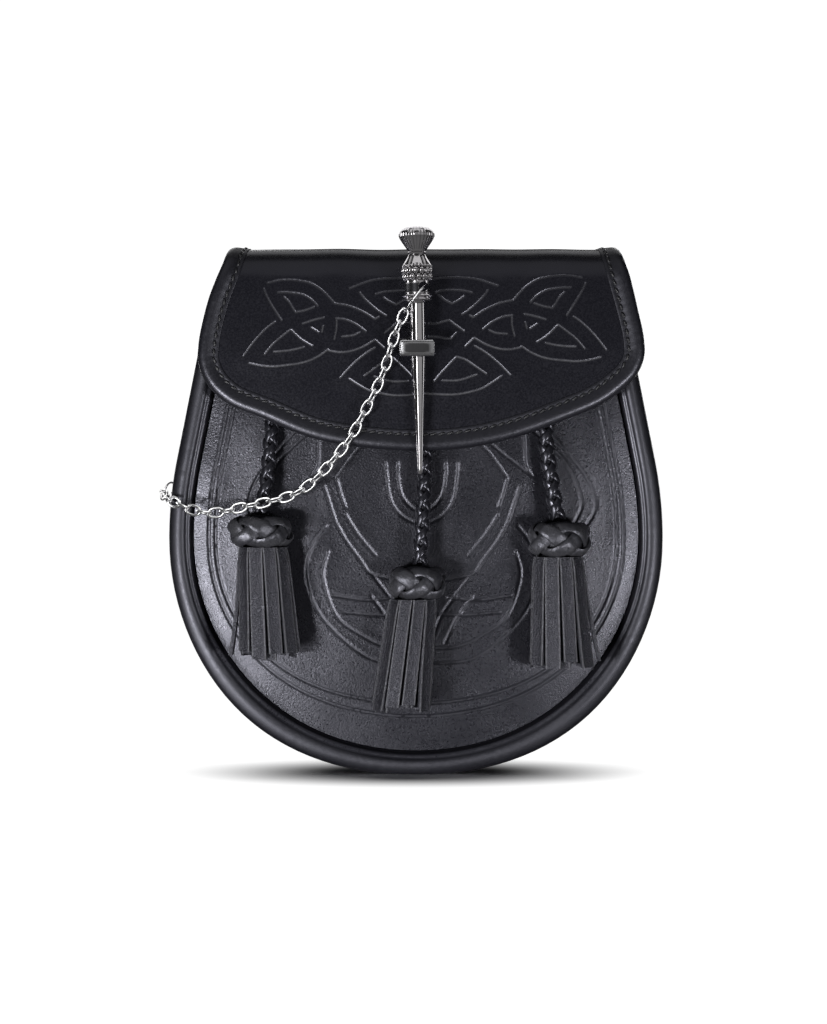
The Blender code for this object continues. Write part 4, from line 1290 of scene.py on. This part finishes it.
def make_knot(tassel):
    """A woven knot: one flat lace led three times round, crossing over and under itself. It is
    crinkled as wet leather dries."""
    centre = np.array(tassel["knot"])
    wide, deep, high = (length / 2 for length in tassel["knot_size"])
    t = turns(KNOT_SAMPLES)
    swing = np.cos(KNOT_BIGHTS * t)
    inset, end_inset = KNOT_INSET
    height = (high - end_inset) * swing
    turn = KNOT_LEADS * t + tassel["knot_turn"]
    x, y = np.cos(turn), np.sin(turn)
    barrel = np.sqrt(1 - KNOT_BARREL * (height / high) ** 2)
    weave = KNOT_WEAVE * np.sin(2 * KNOT_BIGHTS * t)
    x_out, y_out = (wide - inset) * barrel + weave, (deep - inset) * barrel + weave
    places = centre + np.stack([x_out * x, y_out * y, height], axis=1)
    ups = np.stack([x / wide, y / deep, 0.9 * swing * np.abs(swing) / high], axis=1)
    half_width = KNOT_LACE[0] - 0.55 * swing**2 + 0.15 * np.sin(9 * t)
    crinkle = 0.09 * np.sin(71 * t + tassel["seed"]) * (0.4 + np.sin(3 * t) ** 2)
    half_thick = KNOT_LACE[1] + crinkle + 0.06 * np.sin(43 * t)
    band = lace(places, unit(ups), half_width, half_thick, True)
    bpy.ops.mesh.primitive_uv_sphere_add(segments=20, ring_count=12, radius=1)
    core = bpy.context.object
    core.scale = (Vector((wide, deep, high)) - Vector(KNOT_CORE_GAPS)) * MM
    core.location = centre * MM
    settle(core)
    return join([band, core])


SKIRT_ROWS = (10, 7)  # strips in the outer row and in the inner row
SKIRT_INWARD = 1.9  # from the outer row to the inner one
SKIRT_OVERLAP = 1.2  # how far the strips go up into the knot
SKIRT_TURN = 0.18  # of the inner row against the outer one
STRIP_WIDTH = (0.86, 0.05)  # of the space that it has, and how much that varies
STRIP_TWIST = 0.10
STRIP_LONGER = (1.5, 0.6)  # how much the lengths vary, and how much longer the inner row is
STRIP_SECTION = (  # across, as a share of the half width, and out
    (-1.0, -0.35), (-0.96, -0.08), (-0.84, 0.05), (-0.72, 0.03), (-0.45, -0.05), (0.0, -0.1),
    (0.45, -0.05), (0.72, 0.03), (0.84, 0.05), (0.96, -0.08), (1.0, -0.35), (0.97, -1.35),
    (-0.97, -1.35),
)


def ellipse_angles(wide, deep, count):
    """Angles that step evenly along an ellipse's own edge, from its right end."""
    fine = np.linspace(0, 2 * np.pi, 721)
    run = so_far(np.stack([wide * np.cos(fine), deep * np.sin(fine)], axis=1))
    return np.interp(np.arange(count) * run[-1] / count, run, fine)


def hanging_strip(top, bottom, top_size, bottom_size, angle, width, flare, longer, twist):
    """One strip of the skirt, as a thin slab that follows the skirt's slope."""
    share = np.linspace(0, 1, 13)[:, None]
    wide, deep = (start + (end - start) * share for start, end in zip(top_size, bottom_size))
    belly = 1 - 0.06 * np.maximum(0, 1 - share / 0.14) ** 2
    level = np.zeros_like(share)
    out = unit(np.hstack([math.cos(angle) / wide, math.sin(angle) / deep, level]))
    side = np.stack([-out[:, 1], out[:, 0], out[:, 2]], axis=1)
    face = np.hstack([wide * math.cos(angle), deep * math.sin(angle), level]) * belly
    face += top + (bottom - top) * share + out * flare * share**2
    face[:, 2:] -= longer * share
    turned = twist * share**1.5
    side, out = (
        side * np.cos(turned) + out * np.sin(turned),
        out * np.cos(turned) - side * np.sin(turned),
    )
    half = width / 2 * (0.9 + 0.1 * share)
    bend = 0.35 * np.sin(2.2 * share + 3 * angle) * share
    rings = [
        face + side * half * across + out * (bend + rise) for across, rise in STRIP_SECTION
    ]
    # The strip's front edges are marked to come out paler and glossier: a painted highlight.
    rubbed_and_highlit = [float(0.8 < abs(across) < 0.99 and rise > -0.3) for across, rise in STRIP_SECTION]
    return draped(np.stack(rings, axis=1), closed_rings=True, caps=True, rubbed_and_highlit=rubbed_and_highlit)


def make_skirt(tassel):
    """Two rows of strips. No two strips have quite the same width, length and twist."""
    top = np.array(tassel["skirt_top"]) + (0, 0, SKIRT_OVERLAP)
    bottom = np.array(tassel["skirt_bottom"])
    strips = []
    for row, count in enumerate(SKIRT_ROWS):
        sizes = np.array(tassel["skirt_size"]) / 2 - SKIRT_INWARD * row
        upper, lower = sizes[:2], sizes[2:]
        space = 2 * math.pi * math.sqrt(np.sum(lower**2) / 2) / count
        for index, angle in enumerate(ellipse_angles(*upper, count)):
            beat = math.sin(2.3 * index + 5 * row + tassel["seed"])
            flare = 0.0 if row else tassel["flared"].get(index, 0.0)
            width = space * (STRIP_WIDTH[0] + STRIP_WIDTH[1] * beat)
            twist = STRIP_TWIST * math.cos(3.1 * index + tassel["seed"])
            longer = STRIP_LONGER[0] * beat + STRIP_LONGER[1] * row
            angle += SKIRT_TURN * row
            strips.append(
                hanging_strip(top, bottom, upper, lower, angle, width, flare, longer, twist)
            )
    return join(strips)


TASSEL_PARTS = (  # maker, name, finish, slot, node, sharpest smooth edge
    (make_cord, "braided_cord", LACE_LEATHER, "soft_leather", "tassel_cord", 60),
    (make_knot, "woven_knot", KNOT_LEATHER, "soft_leather", "tassel_knot", 70),
    (make_skirt, "leather_skirt", STRIP_LEATHER, "black_leather", "tassel_skirt", 35),
)


def make_tassels():
    for side, tassel in TASSELS.items():
        cord, knot, skirt = [
            dress(make(tassel), f"{name}_{side}", look, slot, [f"{node}_{side}"], angle)
            for make, name, look, slot, node, angle in TASSEL_PARTS
        ]


# ---- The metal ----

PIN_LATHE = (  # drop from the top, radius
    (1.45, 0.0), (1.5, 2.6), (1.8, 4.3), (2.4, 5.5), (3.2, 6.3), (4.2, 6.8), (5.2, 6.85),
    (6.3, 6.4), (7.5, 5.6), (8.8, 4.7), (10.0, 3.85), (10.7, 3.4), (11.0, 3.3), (11.3, 3.5),
    (11.6, 3.35), (12.0, 3.15), (13.0, 3.6), (14.4, 4.45), (15.6, 5.2), (16.3, 5.5), (16.6, 5.3),
    (17.2, 4.95), (19.6, 5.0), (21.6, 4.7), (22.2, 4.55), (22.35, 4.8), (27.2, 4.8), (27.4, 5.15),
    (27.7, 5.55), (28.0, 5.65), (28.3, 5.45), (28.55, 5.1), (28.8, 5.4), (29.2, 5.65), (29.6, 5.5),
    (29.9, 4.9), (30.1, 3.1), (30.5, 2.95), (51.6, 2.9), (73.0, 1.9), (94.2, 0.95), (94.9, 0.85),
    (95.4, 0.5), (95.5, 0.0),
)
PIN_SIDES = 196
PIN_FINE_STEPS = (  # from, to, step
    (1.6, 10.8, 0.5), (12.0, 16.4, 0.4), (16.4, 22.2, 0.2), (22.4, 27.1, 1.0), (32.0, 94.0, 5.0),
)
CROWN_LINES = 28
CROWN_DROPS = (2.6, 10.6)
SLEEVE_PETALS = 6
SLEEVE_DROPS = (11.8, 16.6)
BEAD_RINGS = (  # drop, beads, half width, half height, how far they stand out
    (16.75, 26, 0.55, 0.5, 0.5),
    (18.4, 13, 1.25, 1.3, 1.05),
    (20.8, 13, 1.2, 1.25, 1.05),
)
# The crown, the beads and the neck hold the black of the plating: from, to, how soft the edge is.
PIN_DARK = ((1.7, 10.6, 0.5), (16.3, 22.2, 0.3), (22.4, 27.2, 0.3))
DRILL_LENGTH = 20.0


def pin_axis_y(z):
    return PIN_TOP[1] - (PIN_TOP[2] - z) * math.tan(PIN_TILT)


def pin_hole_centre():
    return Vector((PIN_HOLE[0], pin_axis_y(PIN_HOLE[1]), PIN_HOLE[1]))


def to_line(turn, count):
    """The angle to the nearest of so many evenly spaced lines."""
    step = 2 * np.pi / count
    return np.abs((turn + step / 2) % step - step / 2)


def fade(value, low, high, soft):
    """One between low and high, and falling to nothing outside."""
    return np.clip((value - low) / soft, 0, 1) * np.clip((high - value) / soft, 0, 1)


def thistle_relief(drop, turn, radius):
    """How far the chasing stands out from the lathe's line, and how deep in its hollows it is."""
    step = 2 * np.pi / CROWN_LINES
    strong = 0.35 + 0.65 * np.abs(np.sin(2.7 * np.round(turn / step)))
    lines = strong * bell(to_line(turn, CROWN_LINES) * radius, 0, 0.2)
    petals = bell(to_line(turn, SLEEVE_PETALS) * radius, 0, 0.5) * fade(drop, *SLEEVE_DROPS, 0.5)
    crown, beads, neck = (fade(drop, *dark) for dark in PIN_DARK)
    relief = -0.16 * lines * fade(drop, *CROWN_DROPS, 1.6) - 0.3 * petals
    hollow = 0.9 * lines * crown + 0.7 * petals + 0.9 * beads + neck
    for row, (middle, count, wide, high, stand) in enumerate(BEAD_RINGS):
        across = to_line(turn + (row % 2) * np.pi / count, count) * radius / wide
        dome = np.sqrt(np.clip(1 - across**2 - ((drop - middle) / high) ** 2, 0, 1))
        relief += stand * dome
        hollow -= 1.6 * dome
    return relief, np.clip(hollow, 0, 1)


def make_pin():
    """Turned on a lathe, then chased: a fluted crown over a leafy sleeve and rows of beads."""
    drops, radii = np.transpose(PIN_LATHE)
    steps = [np.arange(*step) for step in PIN_FINE_STEPS]
    turn, drop = np.meshgrid(turns(PIN_SIDES), np.unique(np.concatenate([drops, *steps]).round(4)))
    radius = np.interp(drop, drops, radii)
    relief, _ = thistle_relief(drop, turn, radius)
    reach = np.clip(radius + relief * np.clip(radius / 2.5, 0, 1), 0, None)
    rings = np.stack([reach * np.cos(turn), reach * np.sin(turn), -drop], axis=-1)
    pin = draped(rings, closed_rings=True)
    x, y, z = points_of(pin).T
    _, hollow = thistle_relief(-z, np.arctan2(y, x), np.interp(-z, drops, radii))
    mark(pin, "pressed", hollow)
    lean = Matrix.Rotation(-PIN_LEAN, 4, "Y") @ Matrix.Rotation(-PIN_TILT, 4, "X")
    put_at(pin, Matrix.Translation(Vector(PIN_TOP)) @ lean)
    drill = rod(pin_hole_centre(), PIN_HOLE_RADIUS, DRILL_LENGTH, (90, 0, 0), 28)
    cut(pin, drill, "DIFFERENCE")
    return dress(pin, "thistle_pin", CHROME, "chrome", ["closing_pin"], 38)


STAPLE_WORN = (0.5, 0.3)  # how much narrower and lower the bar is worn
STAPLE_ROUND = 1.0


def make_staple():
    """A bar with softened edges on two legs, with its foot behind the flap."""
    width, depth, height = STAPLE_BAR
    width, height = width - STAPLE_WORN[0], height - STAPLE_WORN[1]
    leg_x, leg_z = STAPLE_LEG
    bar_back = pin_axis_y(STAPLE_Z) - SHANK_RADIUS - CLEAR
    bar_middle = bar_back - depth / 2
    foot_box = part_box("staple")
    foot_y = foot_box[1].y / MM - STAPLE_FOOT[1] / 2
    bar = block((STAPLE_X, bar_middle, STAPLE_Z), (width, depth, height))
    modify(bar, "BEVEL", width=STAPLE_ROUND * MM, segments=4, profile=0.45)
    with editing(bar):
        pick(bar, lambda face: face.normal.y < -0.99)
        bpy.ops.mesh.subdivide(number_cuts=7)
    points = points_of(bar)
    across = (points[:, 0] - STAPLE_X) / (width / 2 - STAPLE_ROUND)
    up = (points[:, 2] - STAPLE_Z) / (height / 2 - STAPLE_ROUND)
    front = points[:, 1] < bar_back - depth + NEAR_FACE
    dome = front * np.clip(1 - across**4, 0, 1) * np.clip(1 - up**4, 0, 1)
    points[:, 1] -= 0.08 * dome
    lay(bar, points)
    # The middle of the face is marked dark and dull and its rounded edges are left bright: painted
    # shade.
    mark(bar, "pressed", np.clip(1.6 * dome, 0, 1))
    leg_size = (leg_x, foot_y - bar_middle, leg_z)
    for side in (-1, 1):
        x = STAPLE_X + side * (width / 2 - STAPLE_EDGE - leg_x / 2)
        cut(bar, block((x, (foot_y + bar_middle) / 2, STAPLE_Z), leg_size), "UNION")
    cut(bar, block((STAPLE_X, foot_y, STAPLE_Z), STAPLE_FOOT), "UNION")
    return dress(bar, "staple_bar", STAPLE_CHROME, "chrome", ["staple"], 40)


def torus(radius, wire, sides, wire_sides):
    """A ring of round wire. radius goes to the middle of the wire."""
    bpy.ops.mesh.primitive_torus_add(
        major_segments=sides,
        minor_segments=wire_sides,
        major_radius=radius * MM,
        minor_radius=wire / 2 * MM,
    )
    return bpy.context.object


def wire_ring(centre, radius, wire, along, normal, sides=56, wire_sides=14):
    ring = torus(radius, wire, sides, wire_sides)
    put_at(ring, placing(centre, along, normal))
    return ring


def pin_ring_centre():
    centre = pin_hole_centre() + PIN_RING_DOWN * (PIN_RING_RADIUS - PIN_RING_SHIFT)
    centre.y = pin_axis_y(centre.z)
    return centre


def side_ring_centre():
    return SIDE_EYE + SIDE_RING_OUT * SIDE_RING_RADIUS


def make_rings():
    ahead, right, up = Vector((0, 1, 0)), Vector((1, 0, 0)), Vector((0, 0, 1))
    down, out = PIN_RING_DOWN, SIDE_RING_OUT
    ring = wire_ring(pin_ring_centre(), PIN_RING_RADIUS, PIN_RING_WIRE, down, down.cross(ahead))
    dress(ring, "pin_jump_ring", CHAIN_CHROME, "chrome", ["pin_ring"])
    ring = wire_ring(side_ring_centre(), SIDE_RING_RADIUS, SIDE_RING_WIRE, out, out.cross(up))
    dress(ring, "side_jump_ring", CHAIN_CHROME, "chrome", ["side_ring"])
    radius, thickness = SIDE_EYE_BASE
    centre = (SIDE_EYE_BASE_X - thickness / 2, SIDE_EYE[1], SIDE_EYE[2])
    base = rod(centre, radius, thickness, (0, 90, 0), 40)
    soften(base, 0.4, 30, segments=4)
    cut(base, wire_ring(SIDE_EYE, SIDE_EYE_RADIUS, SIDE_EYE_WIRE, right, up, 36, 12), "UNION")
    dress(base, "side_stud_eye", CHAIN_CHROME, "chrome", ["side_eye"], 40)


def chain_centres():
    start = pin_ring_centre() + PIN_RING_DOWN * PIN_RING_RADIUS
    end = side_ring_centre() + SIDE_RING_OUT * SIDE_RING_RADIUS
    first = start + (Vector(CHAIN_ROUTE[0]) - start).normalized() * LINK_REACH
    last = end + (Vector(CHAIN_ROUTE[-1]) - end).normalized() * LINK_REACH
    pitch = LINK_LENGTH - 2 * LINK_WIRE - LINK_PLAY
    return [Vector(centre) for centre in smooth_route([first, *CHAIN_ROUTE, last], pitch)]


LINK_STOUT = 1.0  # the plated wire
LINK_GAP = 0.05  # less stretch, so that the stouter links stay apart


def make_chain():
    """One link, drawn out into an oval, copied along the route with every second one turned."""
    half = LINK_WIDTH / 2 - LINK_WIRE / 2
    link = torus(half, LINK_STOUT, 28, 10)
    points = points_of(link)
    stretch = (LINK_LENGTH - LINK_WIDTH) / 2 + LINK_STOUT - LINK_WIRE - LINK_GAP
    share = np.clip(points[:, 0] / half, -1, 1)
    points[:, 0] += stretch * (1.5 * share - 0.5 * share**3)
    lay(link, points)
    centres = chain_centres()
    normal = Vector((0, -1, 0))
    before, places = None, []
    for index, centre in enumerate(centres):
        along = centres[min(index + 1, len(centres) - 1)] - centres[max(index - 1, 0)]
        along.normalize()
        if before is not None:
            normal.rotate(before.rotation_difference(along))
        normal = (normal - along * normal.dot(along)).normalized()
        roll = LINK_ROLL + math.pi / 2 * (index % 2)
        places.append(placing(centre, along, Matrix.Rotation(roll, 3, along) @ normal))
        before = along
    chain = copies(link, places)
    nodes = [f"chain_link_{index + 1:02d}" for index in range(len(centres))]
    return dress(chain, "pin_chain", CHAIN_CHROME, "chrome", nodes, 60)


# ---- The back ----

BACKWARD = (0.0, 1.0, 0.0)
ON_LEATHER = 0.1  # how far a back stitch's middle lies off the leather
BACK_SEAM_INSET = 4.5
FLAP_SEAM_RUNS = (3.0, 7.0)
FLAP_SEAM_END = 7  # from the flap's side
TAB_SEAM_ENDS = (0.4, 1.6)  # from the loop's bend and from the tab's end
TAB_SEAM_SIDE = 2
TAB_STITCH_PITCH = 0.85 * STITCH_PITCH


def make_loops():
    line = smooth_route([*LOOP_HALF, *[(y, -z) for y, z in reversed(LOOP_HALF)]], 1.0)
    for side, x in (("left", -LOOP_X), ("right", LOOP_X)):
        across = x + LOOP_WIDTH * np.linspace(-0.5, 0.5, 9)
        loop = draped([[(at, y, z) for at in across] for y, z in line])
        thicken(loop, LOOP_THICKNESS)
        soften(loop, 0.45, 50)
        dress(loop, f"belt_loop_{side}", BACK_LEATHER, "black_leather", [f"strap_loop_{side}"], 50)


def back_stitches():
    """The seam round the back, the flap's seam over it, and the loops' seams."""
    x, z, _ = outline(BACK_INSET + BACK_SEAM_INSET, FLAP_TAIL_Z - 2).T
    rear = np.full_like(x, BACK_REAR_Y + ON_LEATHER)
    seams = [evenly(np.stack([x, rear, z], axis=1), 1.0)]
    half = FLAP_SIDE[0][1] - FLAP_SEAM_END
    across = np.linspace(-half, half, 80)
    seams += [on_flap(across, np.full(80, run), ON_LEATHER) for run in FLAP_SEAM_RUNS]
    rows = [(seam, STITCH_PITCH) for seam in seams]
    tab_y = LOOP_HALF[0][0] + LOOP_THICKNESS / 2 + ON_LEATHER
    half = LOOP_WIDTH / 2 - TAB_SEAM_SIDE
    bend, end = LOOP_HALF[1][1] + TAB_SEAM_ENDS[0], LOOP_HALF[0][1] - TAB_SEAM_ENDS[1]
    for x in (-LOOP_X, LOOP_X):
        for z in (bend, end, -end, -bend):
            seam = np.array([(x + at, tab_y, z) for at in np.linspace(-half, half, 30)])
            rows.append((seam, TAB_STITCH_PITCH))
    rows = [stitch_row(seam, np.broadcast_to(BACKWARD, seam.shape), pitch) for seam, pitch in rows]
    dress(join(rows), "back_stitches", THREAD, "soft_leather", [], 180)


# ---- The studio ----

FLOOR_SIZE = 60
FLOOR_DROP = 0.0003
FLOOR_TONES = ((0.84, 0.84, 0.84), (0.88, 0.88, 0.88))
# The painted shadow under the pouch: an ellipse where the floor's glow for the camera is held back.
SHADOW_PLACE = {"Location": (0.0, 0.465, 0.0), "Scale": (8.4, 14.5, 1.0)}
SHADOW_EDGE = (0.25, 0.83)  # where the painted shadow gives way to the floor's glow, and where it is all white
WHITE = (1, 1, 1, 1)


def seen_by_camera(tree):
    return add(tree, "LightPath").outputs["Is Camera Ray"]


def studio_floor():
    """A white floor that runs on to the horizon. For the camera it glows white except in an ellipse
    under the pouch, which is a painted shadow over the floor lamp's real one.
    """
    bpy.ops.mesh.primitive_plane_add(size=FLOOR_SIZE, location=(0, 0, CAD_BOX[0].z - FLOOR_DROP))
    floor = bpy.context.object
    floor.name = "studio_floor"
    paint, tree, skin, place = new_finish("studio_floor")
    shape = add(tree, "Mapping", {"Vector": place, **SHADOW_PLACE}).outputs["Vector"]
    far = add(tree, "VectorMath", {0: shape}, operation="LENGTH").outputs["Value"]
    # No glow near the pouch: the floor's painted shadow.
    glow_past_painted_shadow = between(tree, far, *SHADOW_EDGE, 0.0, 1.0, interpolation_type="SMOOTHSTEP")
    fill(tree, skin, {
        "Base Color": shade(tree, noise(tree, place, 3.0, 3.0), *FLOOR_TONES),
        "Roughness": 0.8,
        "Emission Color": WHITE,
        "Emission Strength": maths(tree, "MULTIPLY", glow_past_painted_shadow, seen_by_camera(tree)),
    })
    floor.data.materials.append(paint)
    LIT["floor"].objects.link(floor)


def studio():
    """The floor, the sky, and the lamps of the floor, the leather, the pin and the chain."""
    studio_floor()
    world = bpy.data.worlds.new("studio")
    bpy.context.scene.world = world
    world.use_nodes = True
    tree = world.node_tree
    strength = between(tree, seen_by_camera(tree), 0.0, 1.0, *WORLD_GLOW)
    fill(tree, tree.nodes["Background"], {"Color": WHITE, "Strength": strength})
    for name, (lit, around, up, away, size, power) in LAMPS.items():
        around, up = math.radians(around), math.radians(up)
        level = math.cos(up)
        out = Vector((math.sin(around) * level, -math.cos(around) * level, math.sin(up)))
        lamp = bpy.data.lights.new(name, "AREA")
        lamp.shape = "RECTANGLE"
        lamp.size, lamp.size_y = size
        lamp.energy = power
        made = bpy.data.objects.new(name, lamp)
        bpy.context.scene.collection.objects.link(made)
        made.location = LAMP_AIM + out * away
        made.rotation_euler = (-out).to_track_quat("-Z", "Y").to_euler()
        made.visible_camera = False
        made.light_linking.receiver_collection = LIT[lit]
        made.light_linking.blocker_collection = CASTING


def camera():
    """It stands so far off that a pixel covers PHOTO_MM, a little above the level."""
    lens = bpy.data.cameras.new("camera")
    lens.lens = CAMERA_LENS
    lens.clip_end = 50
    eye = bpy.data.objects.new("camera", lens)
    bpy.context.scene.collection.objects.link(eye)
    middle = to_front([(PHOTO_SIZE[0] / 2, PHOTO_SIZE[1] / 2)])[0]
    target = Vector((middle[0], CAMERA_PLANE_Y, middle[1])) * MM
    far = PHOTO_SIZE[1] * PHOTO_MM * MM * lens.lens / lens.sensor_width
    lift = math.radians(CAMERA_LIFT)
    back = Vector((0, -math.cos(lift), math.sin(lift)))
    eye.location = target + back * far
    eye.rotation_euler = (-back).to_track_quat("-Z", "Y").to_euler()
    bpy.context.scene.camera = eye
    bpy.context.scene.view_settings.view_transform = "Standard"


camera()
studio()
make_tassels()
make_flap()
make_binding()
binding_stitches()
make_front_panel()
make_rim()
make_gusset()
make_back()
make_pin()
make_staple()
make_rings()
make_chain()
make_loops()
back_stitches()
